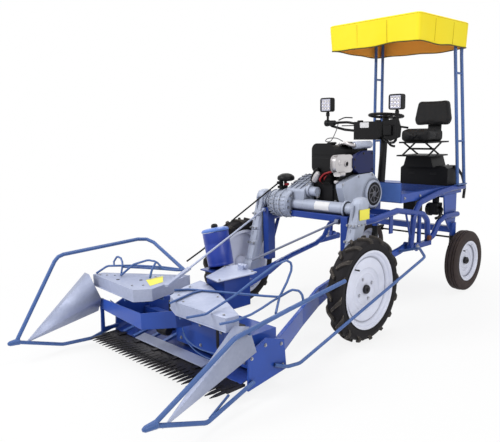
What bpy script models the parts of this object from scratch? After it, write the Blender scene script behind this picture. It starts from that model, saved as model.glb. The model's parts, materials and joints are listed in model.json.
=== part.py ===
"""Ride-on reaper binder, as an assembly of closed solids.

Lengths are in metres. In the machine's own frame x points to its left, y to its rear and z up, the front
axle lies above y = 0 and the wheels stand on z = 0. The empty named machine shifts everything along y, so
that the finished object is centred over the origin. Each moving group hangs on an empty at its joint.
"""

import math

import bpy
import numpy as np

# Seats and clearances
GAP = 0.0003
SLIDE_GAP = 0.006

# Front wheels
FRONT_TRACK = 1.16
FRONT_TYRE_RADIUS = 0.345
FRONT_TYRE_WIDTH = 0.110
FRONT_RIM_RADIUS = 0.245
LUG_HEIGHT = 0.014
LUG_WIDTH = 0.027
LUGS_PER_SIDE = 16
LUG_SWEEP = 0.20
WHEEL_SIDES = 30

# Rear wheels
WHEELBASE = 1.556
REAR_TRACK = 0.98
REAR_TYRE_RADIUS = 0.251
REAR_TYRE_WIDTH = 0.100
REAR_RIM_RADIUS = 0.157
REAR_WHEEL_SIDES = 22
KINGPIN_X = 0.385
KINGPIN_RADIUS = 0.026
AXLE_BEAM_Z = 0.50
AXLE_BEAM_DEPTH = 0.050
STEER_ARM = 0.120
STEER_ARM_Z = 0.425
TIE_ROD_Z = 0.406

# Drive line
AXLE_TUBE_RADIUS = 0.042
AXLE_TUBE_Y = 0.150
AXLE_TUBE_Z = 0.820
HOUSING_X = FRONT_TRACK / 2 - 0.140
HOUSING_HALF = 0.0405
SOCKET_RADIUS = 0.052
BELL_RIGHT = -(HOUSING_X - HOUSING_HALF - 0.0695)
BELL_LEFT = BELL_RIGHT + 0.191
CASE_LEFT = BELL_LEFT + 0.108

# Frame
FRAME_TUBE = 0.0225
RAIL_X = 0.400
LEG_X = HOUSING_X - 0.0775
LEG_WIDTH = 0.055
LEG_FRONT = 0.075
LEG_REAR = 0.145
LEG_FOOT = 0.385
LEG_TOP = AXLE_TUBE_Z - AXLE_TUBE_RADIUS - GAP
CROSS_BEAM_FRONT = 0.105
CROSS_BEAM_REAR = 0.155
CROSS_BEAM_BOTTOM = 0.732
LINK_BOSS = 0.018
PIVOT_Y = 0.911
PIVOT_Z = 0.455
ARM_BOSS = 0.026

# Operator's platform
DECK_HALF = RAIL_X - FRAME_TUBE - GAP
DECK_FRONT = 0.753
DECK_REAR = 1.700
DECK_BOTTOM = 0.800
DECK_TOP = 0.866
DECK_UPSTAND = 0.950
SHEET = 0.004
STATION_X = 0.120
POST_X = 0.411
POST_Y = 1.560
POST_SPACING = 0.115
POST_TUBE = 0.0135

# Canopy
CANOPY_HALF = 0.408
CANOPY_FRONT = 0.891
CANOPY_REAR = 1.659
CANOPY_TOP = 2.171
CANOPY_HEM = CANOPY_TOP - 0.199
CANOPY_SHEET = 0.004

# Header
CUT_WIDTH = 1.220
TOOTH_PITCH = 0.038
TOOTH_LENGTH = 0.105
CUTTER_TIP = -1.303
CUTTER_BACK = -1.080
CUTTER_Z = 0.058
CUTTER_THICK = 0.012
END_PLATE_X = 0.635
END_PLATE_THICK = 0.012
COVER_TOP = 0.450
COVER_DEPTH = 0.074
COVER_SHEET = 0.003
STAR_RADIUS = 0.165
STAR_TEETH = 8
STAR_Z = 0.357
TIP_X = 0.711
TIP_Y = -1.768
TIP_Z = 0.128
SKID_Z = 0.033
SHELF_Z = 0.428
GUARD_TUBE = 0.0125
SKID_TUBE = 0.0115
ROD = 0.007

# The object's ends along y, which centre it over the origin
FRONT_REACH = TIP_Y
REAR_REACH = WHEELBASE + REAR_TYRE_RADIUS

LEFT, RIGHT = 1, -1
SIDES = (("left", LEFT), ("right", RIGHT))

# name: red, green, blue, roughness, metallic
PAINTS = {
    "blue_paint": (0.035, 0.075, 0.420, 0.38, 0.0),
    "dark_blue_paint": (0.020, 0.035, 0.190, 0.40, 0.0),
    "steel_blue_paint": (0.110, 0.210, 0.420, 0.42, 0.0),
    "can_blue": (0.030, 0.110, 0.560, 0.35, 0.0),
    "galvanised_sheet": (0.480, 0.570, 0.720, 0.45, 0.6),
    "grey_casting": (0.400, 0.450, 0.560, 0.55, 0.3),
    "rim_grey": (0.640, 0.650, 0.760, 0.40, 0.1),
    "black_paint": (0.015, 0.015, 0.014, 0.45, 0.0),
    "cutter_steel": (0.020, 0.020, 0.022, 0.50, 0.6),
    "silver_metal": (0.620, 0.610, 0.600, 0.35, 0.8),
    "seat_vinyl": (0.014, 0.014, 0.015, 0.60, 0.0),
    "tyre_rubber": (0.020, 0.019, 0.022, 0.75, 0.0),
    "rear_tyre_rubber": (0.060, 0.040, 0.036, 0.78, 0.0),
    "canopy_cloth": (1.000, 0.720, 0.010, 0.70, 0.0),
    "lamp_lens": (0.820, 0.830, 0.980, 0.15, 0.0),
}


def clear_scene():
    """Removes what the scene holds."""
    for old in list(bpy.data.objects):
        bpy.data.objects.remove(old, do_unlink=True)


def paint(name):
    """The material of this name, made once."""
    found = bpy.data.materials.get(name)
    if found:
        return found
    red, green, blue, roughness, metallic = PAINTS[name]
    made = bpy.data.materials.new(name)
    made.use_nodes = True
    shader = made.node_tree.nodes["Principled BSDF"]
    shader.inputs["Base Color"].default_value = (red, green, blue, 1.0)
    shader.inputs["Roughness"].default_value = roughness
    shader.inputs["Metallic"].default_value = metallic
    return made


# Shells: each is (points, faces), one closed surface


def outward(points, faces):
    """The shell with its faces turned outwards: a fan of tetrahedra gives the sign of its volume."""
    points = np.asarray(points, float)
    total = 0.0
    for face in faces:
        a = points[face[0]]
        for one, two in zip(face[1:-1], face[2:]):
            total += np.dot(a, np.cross(points[one], points[two]))
    if total < 0:
        faces = [tuple(reversed(face)) for face in faces]
    return points, [tuple(face) for face in faces]


def lofted(rings):
    """A skin over equal rings of points, with a flat cap at each end."""
    count = len(rings[0])
    points = np.concatenate([np.asarray(ring, float) for ring in rings])
    faces = []
    for row in range(len(rings) - 1):
        for i in range(count):
            j = (i + 1) % count
            low, high = row * count, (row + 1) * count
            faces.append((low + i, low + j, high + j, high + i))
    faces.append(tuple(reversed(range(count))))
    last = (len(rings) - 1) * count
    faces.append(tuple(range(last, last + count)))
    return outward(points, faces)


def prism(outline, axis, low, high):
    """A flat outline, given in the two other axes in x, y, z order, carried from low to high along axis."""
    rings = []
    for level in (low, high):
        ring = np.insert(np.asarray(outline, float), axis, level, axis=1)
        rings.append(ring)
    return lofted(rings)


def block(low, high):
    """A box between two corners."""
    outline = [(low[0], low[1]), (high[0], low[1]), (high[0], high[1]), (low[0], high[1])]
    return prism(outline, 2, low[2], high[2])


def rounded(outline, radius, steps=2):
    """A closed outline whose corners are arcs of this radius, or less where a side is short."""
    corners = [np.asarray(point, float) for point in outline]
    made = []
    for i, corner in enumerate(corners):
        before, after = corners[i - 1], corners[(i + 1) % len(corners)]
        made.extend(arc_at(before, corner, after, radius, steps))
    return made


def arc_at(before, corner, after, radius, steps):
    """Points of the arc that replaces a corner: it touches both sides, at equal distances from the corner."""
    way_in, way_out = corner - before, after - corner
    length_in, length_out = np.linalg.norm(way_in), np.linalg.norm(way_out)
    way_in, way_out = way_in / length_in, way_out / length_out
    turn = math.acos(max(-1.0, min(1.0, float(np.dot(way_in, way_out)))))
    if turn < 0.02 or radius <= 0:
        return [corner]
    reach = min(radius * math.tan(turn / 2), 0.48 * length_in, 0.48 * length_out)
    radius = reach / math.tan(turn / 2)
    inward = way_out - way_in * float(np.dot(way_in, way_out))
    inward = inward / np.linalg.norm(inward)
    start = corner - way_in * reach
    centre = start + inward * radius
    made = []
    for step in range(steps + 1):
        angle = turn * step / steps
        made.append(centre - inward * radius * math.cos(angle) + way_in * radius * math.sin(angle))
    return made


def bent(points, radius, steps=2):
    """An open path through these points, with an arc of this radius at each inner one."""
    points = [np.asarray(point, float) for point in points]
    made = [points[0]]
    for before, corner, after in zip(points, points[1:], points[2:]):
        made.extend(arc_at(before, corner, after, radius, steps))
    made.append(points[-1])
    return made


def carried(path, sections):
    """Rings square to a path. A section is a list of (across, up); up stays as near to +Z as it can."""
    path = [np.asarray(point, float) for point in path]
    rings = []
    across = None
    for i, point in enumerate(path):
        ahead = path[min(i + 1, len(path) - 1)] - point
        behind = point - path[max(i - 1, 0)]
        way = np.zeros(3)
        for part in (ahead, behind):
            if np.linalg.norm(part) > 0:
                way = way + part / np.linalg.norm(part)
        way = way / np.linalg.norm(way)
        if across is None:
            guide = np.array((0.0, 0.0, 1.0)) if abs(way[2]) < 0.95 else np.array((0.0, 1.0, 0.0))
            across = np.cross(way, guide)
        across = across - way * np.dot(across, way)
        across = across / np.linalg.norm(across)
        up = np.cross(across, way)
        rings.append([point + across * a + up * b for a, b in sections[i]])
    return rings


def circle(radius, sides, start=0.0):
    """Corners of a regular polygon of the given outer radius."""
    angles = [start + 2 * math.pi * i / sides for i in range(sides)]
    return [(radius * math.cos(a), radius * math.sin(a)) for a in angles]


def tube(points, radius, bend=0.0, sides=8, steps=2):
    """A round bar along a path whose corners are bent to the given radius."""
    path = bent(points, bend, steps) if bend else points
    section = circle(radius, sides, math.pi / sides)
    return lofted(carried(path, [section] * len(path)))


def turned(profile, axis, centre, sides):
    """A profile of (distance along the axis, radius) turned about it. A radius of 0 closes on the axis."""
    centre = np.asarray(centre, float)
    others = [i for i in range(3) if i != axis]
    points, rows = [], []
    for along, radius in profile:
        row = []
        count = 1 if radius == 0 else sides
        for i in range(count):
            angle = 2 * math.pi * i / sides
            point = centre.copy()
            point[axis] += along
            point[others[0]] += radius * math.cos(angle)
            point[others[1]] += radius * math.sin(angle)
            row.append(len(points))
            points.append(point)
        rows.append(row)
    open_ends = len(rows[0]) == 1 and len(rows[-1]) == 1
    pairs = list(zip(rows, rows[1:])) + ([] if open_ends else [(rows[-1], rows[0])])
    faces = []
    for one, two in pairs:
        for i in range(sides):
            j = (i + 1) % sides
            if len(one) == 1:
                faces.append((one[0], two[j], two[i]))
            elif len(two) == 1:
                faces.append((one[i], one[j], two[0]))
            else:
                faces.append((one[i], one[j], two[j], two[i]))
    return outward(points, faces)


def rod_along(axis, centre, radius, low, high, sides=16):
    """A round bar along an axis between two positions on it."""
    centre = list(centre)
    centre[axis] = 0.0
    return turned([(low, 0), (low, radius), (high, radius), (high, 0)], axis, centre, sides)


def moved(shell, offset):
    """The same shell, shifted."""
    return shell[0] + np.asarray(offset, float), shell[1]


# Objects

pivots = {}


def pivot(name, place, parent="machine"):
    """An empty at a joint's axis, or the machine's own."""
    empty = bpy.data.objects.new(name, None)
    bpy.context.scene.collection.objects.link(empty)
    empty.empty_display_size = 0.05
    base = np.zeros(3)
    if name != "machine":
        empty.parent = pivots[parent][0]
        base = pivots[parent][1]
    place = np.asarray(place, float)
    empty.location = place - base
    pivots[name] = (empty, np.zeros(3) if name == "machine" else place)


def raw_object(name, shell, material):
    mesh = bpy.data.meshes.new(name)
    mesh.from_pydata([tuple(point) for point in shell[0]], [], shell[1])
    mesh.update()
    mesh.materials.append(material)
    made = bpy.data.objects.new(name, mesh)
    bpy.context.scene.collection.objects.link(made)
    return made


def boolean(made, shells, operation):
    """Joins or cuts an object by shells, all at once, and keeps the result as its mesh."""
    group = bpy.data.collections.new("tools")
    bpy.context.scene.collection.children.link(group)
    helpers = []
    for i, shell in enumerate(shells):
        helper = raw_object(f"tool_{i}", shell, made.data.materials[0])
        helper.hide_render = True
        helper.display_type = "WIRE"
        bpy.context.scene.collection.objects.unlink(helper)
        group.objects.link(helper)
        helpers.append(helper)
    modifier = made.modifiers.new("shape", "BOOLEAN")
    modifier.operation = operation
    modifier.solver = "EXACT"
    modifier.operand_type = "COLLECTION"
    modifier.collection = group
    modifier.use_self = len(shells) > 1
    graph = bpy.context.evaluated_depsgraph_get()
    graph.update()
    result = bpy.data.meshes.new_from_object(made.evaluated_get(graph))
    made.modifiers.clear()
    old = made.data
    made.data = result
    bpy.data.meshes.remove(old)
    for helper in helpers:
        bpy.data.objects.remove(helper, do_unlink=True)
    bpy.data.collections.remove(group)


def solid(name, shells, finish, hang="machine", cuts=(), bevel=0.0, sharp=35):
    """One node: shells joined, then cut, its mesh kept about the pivot that it hangs on."""
    empty, place = pivots[hang]
    shells = [moved(shell, -place) for shell in shells]
    made = raw_object(name, shells[0], paint(finish))
    if len(shells) > 1:
        boolean(made, shells[1:], "UNION")
    if cuts:
        boolean(made, [moved(cut, -place) for cut in cuts], "DIFFERENCE")
    made.data.name = name
    made.parent = empty
    if bevel:
        rounding = made.modifiers.new("edges", "BEVEL")
        rounding.width = bevel
        rounding.segments = 2
        rounding.limit_method = "ANGLE"
        rounding.angle_limit = math.radians(50)
    made.data.shade_smooth()
    made.data.set_sharp_from_angle(angle=math.radians(sharp))
    return made


# Wheels


def front_lug(side, row, index, carcass):
    """One tread bar, from the tyre's middle to its shoulder, leaning back as it goes out."""
    pitch = 2 * math.pi / LUGS_PER_SIDE
    middle = pitch * (index + (0.5 if row > 0 else 0.0))
    half = FRONT_TYRE_WIDTH / 2 - 0.0005
    lean = LUG_WIDTH / 2 / FRONT_TYRE_RADIUS
    # share of the way out, top radius, foot radius
    stations = ((0.0, FRONT_TYRE_RADIUS, carcass - 0.005), (1.0, FRONT_TYRE_RADIUS - 0.011, carcass - 0.028))
    rings = []
    for share, top, foot in stations:
        x = side * FRONT_TRACK / 2 + row * (0.002 + (half - 0.002) * share)
        turn = middle + LUG_SWEEP * share
        ring = []
        for radius, offset in ((foot, -lean), (foot, lean), (top, lean * 0.7), (top, -lean * 0.7)):
            angle = turn + offset
            ring.append((x, radius * math.sin(angle), FRONT_TYRE_RADIUS + radius * math.cos(angle)))
        rings.append(ring)
    return lofted(rings)


def rim_profile(rim, half, hub_in, cap, dish):
    """(outward offset, radius) round a rim: cap, stepped disc, outer flange, barrel, inner flange, back, hub."""
    lip = 0.0035
    rise = 0.009
    front = [(cap, 0), (cap, 0.028), (dish, 0.037), (dish, rim * 0.54), (dish + 0.009, rim * 0.58),
             (dish + 0.009, rim * 0.86), (half - 0.004, rim - 0.012), (half + lip, rim - 0.004)]
    barrel = [(half + lip, rim + rise), (half, rim + rise), (half, rim), (-half, rim), (-half, rim + rise),
              (-half - lip, rim + rise), (-half - lip, rim - 0.014)]
    back = [(dish - 0.001, rim - 0.020), (dish - 0.010, 0.048), (hub_in, 0.038), (hub_in, 0)]
    return front + barrel + back


def front_wheels():
    half = FRONT_TYRE_WIDTH / 2
    carcass = FRONT_TYRE_RADIUS - LUG_HEIGHT
    bead = FRONT_RIM_RADIUS + GAP
    seat = half * 0.82
    tread = [(-seat, bead), (-half * 0.84, bead + 0.016), (-half, bead + 0.042), (-half + 0.001, carcass - 0.019),
             (-half * 0.80, carcass - 0.004), (0.0, carcass)]
    tread = tread + [(-x, radius) for x, radius in reversed(tread[:-1])]
    hub_in = -(FRONT_TRACK / 2 - HOUSING_X - HOUSING_HALF - GAP)
    for label, side in SIDES:
        hang = f"front_hub_{label}"
        centre = (side * FRONT_TRACK / 2, 0.0, FRONT_TYRE_RADIUS)
        shells = [turned(tread, 0, centre, WHEEL_SIDES)]
        for row in (1, -1):
            shells.extend(front_lug(side, row, i, carcass) for i in range(LUGS_PER_SIDE))
        solid(f"front_tyre_{label}", shells, "tyre_rubber", hang)
        profile = rim_profile(FRONT_RIM_RADIUS, half * 0.86, hub_in, 0.026, 0.012)
        shell = turned([(side * x, radius) for x, radius in profile], 0, centre, WHEEL_SIDES)
        solid(f"front_rim_{label}", [shell], "rim_grey", hang)


def rear_wheels():
    half = REAR_TYRE_WIDTH / 2
    bead = REAR_RIM_RADIUS + GAP
    top = REAR_TYRE_RADIUS
    side_wall = [(-half * 0.85, bead), (-half * 0.87, bead + 0.012), (-half, bead + 0.036), (-half * 0.99, top - 0.030),
                 (-half * 0.86, top - 0.009)]
    ribs = [(-0.0250, top - 0.0015), (-0.0245, top - 0.007), (-0.0195, top - 0.007), (-0.0190, top - 0.0005),
            (-0.0030, top), (-0.0025, top - 0.006)]
    tread = side_wall + ribs
    tread = tread + [(-x, radius) for x, radius in reversed(tread)]
    stub = KINGPIN_X + 0.0467
    hub_in = -(REAR_TRACK / 2 - stub - GAP)
    for label, side in SIDES:
        hang = f"rear_hub_{label}"
        centre = (side * REAR_TRACK / 2, WHEELBASE, REAR_TYRE_RADIUS)
        solid(f"rear_tyre_{label}", [turned(tread, 0, centre, REAR_WHEEL_SIDES)], "rear_tyre_rubber", hang)
        profile = rim_profile(REAR_RIM_RADIUS, half * 0.88, hub_in, 0.040, 0.010)
        shell = turned([(side * x, radius) for x, radius in profile], 0, centre, REAR_WHEEL_SIDES)
        solid(f"rear_rim_{label}", [shell], "rim_grey", hang)
        # kingpin head, leg, stub and steering arm
        x, y = side * KINGPIN_X, WHEELBASE
        head = AXLE_BEAM_Z - AXLE_BEAM_DEPTH - GAP
        parts = [rod_along(2, (x, y, 0), KINGPIN_RADIUS, 0.370, head),
                 block((x - 0.020, y - 0.024, 0.222), (x + 0.020, y + 0.024, 0.385)),
                 rod_along(0, (x, y, REAR_TYRE_RADIUS), 0.029, min(x, side * stub), max(x, side * stub)),
                 block((x - 0.013, y + 0.010, STEER_ARM_Z), (x + 0.013, y + STEER_ARM + 0.016, STEER_ARM_Z + 0.018))]
        solid(f"steering_knuckle_{label}", parts, "black_paint", f"kingpin_{label}")


# Running gear


def axles():
    """Each side's axle tube and drop housing, from the transmission to the wheel's hub."""
    # level, position along y, half depth along y, half width along x
    stations = ((0.908, 0.150, 0.022, 0.018), (0.898, 0.150, 0.048, 0.034), (0.872, 0.149, 0.064, 0.0405),
                (0.800, 0.138, 0.067, 0.0405), (0.745, 0.118, 0.063, 0.0405), (0.742, 0.117, 0.068, 0.0405),
                (0.720, 0.109, 0.068, 0.0405), (0.717, 0.108, 0.061, 0.0405), (0.640, 0.084, 0.057, 0.0405),
                (0.637, 0.083, 0.062, 0.0405), (0.615, 0.076, 0.062, 0.0405), (0.612, 0.075, 0.055, 0.0405),
                (0.530, 0.049, 0.051, 0.0405), (0.527, 0.048, 0.056, 0.0405), (0.505, 0.041, 0.056, 0.0405),
                (0.502, 0.040, 0.050, 0.0405), (0.400, 0.008, 0.049, 0.0405), (0.310, 0.000, 0.040, 0.030))
    for label, side in SIDES:
        rings = []
        for z, y, deep, wide in stations:
            outline = rounded([(-wide, -deep), (wide, -deep), (wide, deep), (-wide, deep)], wide * 0.8, 2)
            rings.append([(side * HOUSING_X + point[0], y + point[1], z) for point in outline])
        inner = side * (HOUSING_X - HOUSING_HALF)
        end = CASE_LEFT + GAP if side == LEFT else BELL_RIGHT - GAP
        low, high = sorted((inner + side * 0.020, end))
        socket = sorted((inner + side * 0.010, side * (LEG_X + LEG_WIDTH / 2 + GAP)))
        boss = sorted((inner, side * (HOUSING_X + HOUSING_HALF)))
        shells = [lofted(rings),
                  rod_along(0, (0, AXLE_TUBE_Y, AXLE_TUBE_Z), AXLE_TUBE_RADIUS, low, high, 20),
                  rod_along(0, (0, AXLE_TUBE_Y, AXLE_TUBE_Z), SOCKET_RADIUS, socket[0], socket[1], 20),
                  rod_along(0, (0, 0, FRONT_TYRE_RADIUS), 0.056, boss[0], boss[1], 20)]
        solid(f"axle_{label}", shells, "grey_casting")


def transmission():
    """Bell housing on the axle line, with the ribbed case that climbs back to the engine."""
    middle = (0, AXLE_TUBE_Y, AXLE_TUBE_Z)
    length = BELL_LEFT - BELL_RIGHT
    profile = [(BELL_RIGHT, 0), (BELL_RIGHT, 0.060), (BELL_RIGHT + 0.012, 0.092), (BELL_RIGHT + 0.040, 0.100)]
    for share in (0.30, 0.58):
        x = BELL_RIGHT + length * share
        profile += [(x, 0.100), (x + 0.002, 0.107), (x + 0.016, 0.107), (x + 0.018, 0.100)]
    profile += [(BELL_LEFT - 0.022, 0.100), (BELL_LEFT, 0.086), (BELL_LEFT, 0)]
    shells = [turned(profile, 0, middle, 24)]
    case = [(0.130, 0.800), (0.400, 0.845), (0.420, 0.870), (0.420, 0.985), (0.400, 1.010), (0.330, 1.010), (0.130, 0.930)]
    shells.append(prism(rounded(case, 0.02), 0, -0.200, CASE_LEFT))
    shells.append(rod_along(0, middle, AXLE_TUBE_RADIUS, BELL_LEFT - 0.020, CASE_LEFT, 20))
    # y position of each rib over the case
    for y in (0.235, 0.285, 0.335, 0.385):
        top = min(1.014, 0.930 + (y - 0.130) * 0.40 + 0.006)
        shells.append(block((-0.204, y - 0.006, 0.868), (CASE_LEFT - 0.001, y + 0.006, top)))
    shells.append(rod_along(0, (0, 0.190, 0.915), 0.034, -0.060, 0.045, 20))
    shells.append(rod_along(0, (0, 0.190, 0.915), 0.044, -0.040, -0.012, 20))
    solid("transmission_case", shells, "grey_casting")
    # lever's bracket and its wide knob over the bell
    top = AXLE_TUBE_Z + 0.107 + GAP
    x = BELL_RIGHT + 0.075
    shells = [block((x - 0.020, 0.115, top), (x + 0.020, 0.185, top + 0.018)),
              block((x - 0.007, 0.118, top), (x + 0.007, 0.150, 0.985)),
              tube([(x, 0.168, top + 0.010), (x, 0.180, 0.985)], 0.012),
              turned([(0.978, 0), (0.978, 0.050), (0.990, 0.066), (1.006, 0.066), (1.024, 0.050), (1.034, 0.020),
                      (1.036, 0)], 2, (x, 0.186, 0), 16)]
    solid("shift_lever", shells, "black_paint")


def frame():
    """Side frames: the left one carries the pivot plate and the heel tube, the right one a plain hanger."""
    for label, side in SIDES:
        x = side * RAIL_X
        wide = LEG_WIDTH / 2
        front = [(side * (LEG_X - 0.0025), 0.120, 0.700), (side * (LEG_X + 0.0025), 0.250, 0.712),
                 (x, 0.360, 0.724), (x, 0.669, 0.757)]
        rear = [(x, 0.978, 0.784), (x, 1.250, 0.830), (x, 1.480, 0.852), (x, POST_Y + POST_SPACING + 0.018, 0.852)]
        shells = [block((side * LEG_X - wide, LEG_FRONT, LEG_FOOT), (side * LEG_X + wide, LEG_REAR, LEG_TOP)),
                  tube([(side * (LEG_X + 0.0095), 0.110, LEG_FOOT + 0.030), (side * (LEG_X + 0.0175), 0.240, 0.705)], 0.014)]
        if side == LEFT:
            rail = front + [(x, 1.028, 0.693), (x, 1.100, 0.640), (x, 1.117, 0.470)]
            arch = [(x, 0.861, 0.455), (x, 0.900, 0.700)] + rear
            heel = [(x, 1.100, 0.468), (x, 1.200, 0.500), (x, 1.285, 0.600), (x, 1.380, 0.628), (x, 1.600, 0.628)]
            shells += [tube(rail, FRAME_TUBE, 0.06), tube(arch, FRAME_TUBE, 0.10), tube(heel, FRAME_TUBE, 0.06),
                       tube([(x, 0.980, 0.715), (x, 0.980, 0.450)], 0.016),
                       block((x - 0.020, 0.840, 0.436), (x + 0.020, 1.140, 0.474)),
                       block((x - 0.005, 0.565, 0.600), (x + 0.005, 0.605, 0.745)),
                       tube([(x, 0.780, 0.740), (x, 0.815, 0.640), (x, 0.880, 0.455)], 0.008)]
        else:
            rail = front + [(x, 0.930, 0.722)]
            arch = [(x, 0.905, 0.700)] + rear
            shells += [tube(rail, FRAME_TUBE, 0.06), tube(arch, FRAME_TUBE, 0.10),
                       tube([(x, 0.925, 0.715), (x, PIVOT_Y, PIVOT_Z)], 0.016)]
        cheek = sorted((side * (RAIL_X - 0.0357), side * (RAIL_X - 0.0075)))
        shells.append(rod_along(0, (0, PIVOT_Y, PIVOT_Z), 0.034, cheek[0], cheek[1]))
        solid(f"side_frame_{label}", shells, "dark_blue_paint")
    inner = LEG_X - LEG_WIDTH / 2 - GAP
    solid("front_cross_member", [block((BELL_LEFT + GAP, CROSS_BEAM_FRONT, CROSS_BEAM_BOTTOM),
                                       (inner, CROSS_BEAM_REAR, LEG_TOP - GAP))], "dark_blue_paint", bevel=0.003)
    # engine bed: two cross bars between the rails, with runners up to the block
    reach = RAIL_X - FRAME_TUBE * math.cos(math.pi / 8) - GAP
    shells = [block((-reach, 0.400, 0.715), (reach, 0.440, 0.755)),
              block((-reach, 0.560, 0.730), (reach, 0.600, 0.770)),
              block((CASE_LEFT + 0.011, 0.360, 0.740), (CASE_LEFT + 0.051, 0.610, 0.8297)),
              block((CASE_LEFT + 0.171, 0.360, 0.740), (CASE_LEFT + 0.211, 0.610, 0.8297))]
    solid("engine_bed", shells, "dark_blue_paint")


def engine():
    """The engine stands beside the gear case, so its pieces take their place across from the case's side."""
    low = CASE_LEFT + 0.0005
    flank = low + 0.2202
    crank = [(0.24, 0.83), (0.58, 0.83), (0.58, 1.00), (0.54, 1.06), (0.28, 1.06), (0.24, 1.00)]
    solid("engine_block", [prism(rounded(crank, 0.02), 0, low, flank)], "black_paint")
    shroud = [(0.20, 0.98), (0.25, 0.84), (0.40, 0.79), (0.645, 0.785), (0.68, 0.88), (0.67, 0.955), (0.575, 1.035),
              (0.40, 1.03)]
    fan = [(0.050, 0), (0.050, 0.068), (0.062, 0.068), (0.066, 0.062), (0.063, 0.030), (0.072, 0.022), (0.072, 0)]
    shells = [prism(rounded(shroud, 0.03), 0, flank + GAP, flank + 0.055),
              turned(fan, 0, (flank, 0.570, 0.885), 24)]
    solid("flywheel_housing", shells, "grey_casting")
    tank = rounded([(low + 0.0105, 1.0603), (flank - 0.040, 1.0603), (flank - 0.040, 1.240), (low + 0.0105, 1.240)], 0.025)
    shells = [prism(tank, 1, 0.220, 0.620), rod_along(2, (low + 0.0905, 0.330, 0), 0.030, 1.230, 1.262)]
    solid("fuel_tank", shells, "black_paint")
    box = rounded([(0.170, 1.065), (0.344, 1.065), (0.344, 1.165), (0.170, 1.165)], 0.03)
    solid("muffler", [prism(box, 0, flank - 0.0397, flank + 0.040)], "silver_metal", bevel=0.004)
    cowl = [(0.3443, 1.150), (0.480, 1.195), (0.590, 1.195), (0.600, 1.0355), (0.420, 1.0355), (0.3443, 1.080)]
    solid("engine_cowl", [prism(cowl, 0, flank + GAP, flank + 0.048)], "dark_blue_paint", bevel=0.004)


def rear_axle():
    beam = AXLE_BEAM_DEPTH / 2
    shells = [block((-KINGPIN_X, WHEELBASE - 0.030, AXLE_BEAM_Z - beam), (KINGPIN_X, WHEELBASE + 0.030, AXLE_BEAM_Z + beam))]
    reach = RAIL_X - FRAME_TUBE * math.cos(math.pi / 8) - GAP
    for side in (LEFT, RIGHT):
        shells.append(rod_along(2, (side * KINGPIN_X, WHEELBASE, 0), KINGPIN_RADIUS, AXLE_BEAM_Z - AXLE_BEAM_DEPTH,
                                AXLE_BEAM_Z + AXLE_BEAM_DEPTH + 0.010))
        gusset = [(WHEELBASE - 0.150, DECK_BOTTOM - GAP), (WHEELBASE - 0.130, 0.620), (WHEELBASE - 0.040, AXLE_BEAM_Z),
                  (WHEELBASE + 0.040, AXLE_BEAM_Z), (WHEELBASE + 0.060, 0.620), (WHEELBASE + 0.060, DECK_BOTTOM - GAP)]
        low, high = sorted((side * (reach - 0.012), side * reach))
        shells.append(prism(gusset, 0, low, high))
        low, high = sorted((side * (reach - 0.050), side * reach))
        shells.append(block((low, WHEELBASE - 0.150, DECK_BOTTOM - 0.020), (high, WHEELBASE + 0.060, DECK_BOTTOM - GAP)))
    solid("rear_axle_beam", shells, "blue_paint")
    x = STATION_X
    shells = [block((x - 0.055, 1.300, 0.640), (x + 0.055, 1.420, DECK_BOTTOM - GAP)),
              rod_along(2, (x, 1.370, 0), 0.020, 0.580, 0.650)]
    solid("steering_box", shells, "black_paint")
    y = WHEELBASE + STEER_ARM
    shells = [rod_along(0, (0, y, TIE_ROD_Z), 0.008, -KINGPIN_X, KINGPIN_X, 12)]
    for side in (LEFT, RIGHT):
        shells.append(rod_along(2, (side * KINGPIN_X, y, 0), 0.013, TIE_ROD_Z - 0.013, STEER_ARM_Z - GAP, 12))
    solid("tie_rod", shells, "black_paint", "tie_rod_slide")


# Operator's platform


def deck():
    half, sheet = DECK_HALF, SHEET
    outline = [(DECK_FRONT, DECK_UPSTAND), (DECK_FRONT, DECK_BOTTOM), (DECK_FRONT + sheet, DECK_BOTTOM),
               (DECK_FRONT + sheet, DECK_TOP - sheet), (DECK_REAR - sheet, DECK_TOP - sheet),
               (DECK_REAR - sheet, DECK_BOTTOM), (DECK_REAR, DECK_BOTTOM), (DECK_REAR, DECK_TOP),
               (DECK_FRONT + sheet, DECK_TOP), (DECK_FRONT + sheet, DECK_UPSTAND)]
    shells = [prism(outline, 0, -half, half)]
    for side in (LEFT, RIGHT):
        low, high = sorted((side * half, side * (half - sheet)))
        shells.append(block((low, DECK_FRONT, DECK_BOTTOM), (high, DECK_REAR, DECK_TOP)))
    for y in (1.000, 1.360, 1.590):
        shells.append(block((-half, y - 0.020, DECK_BOTTOM), (half, y + 0.020, DECK_TOP - 0.001)))
    solid("deck", shells, "blue_paint")


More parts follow.
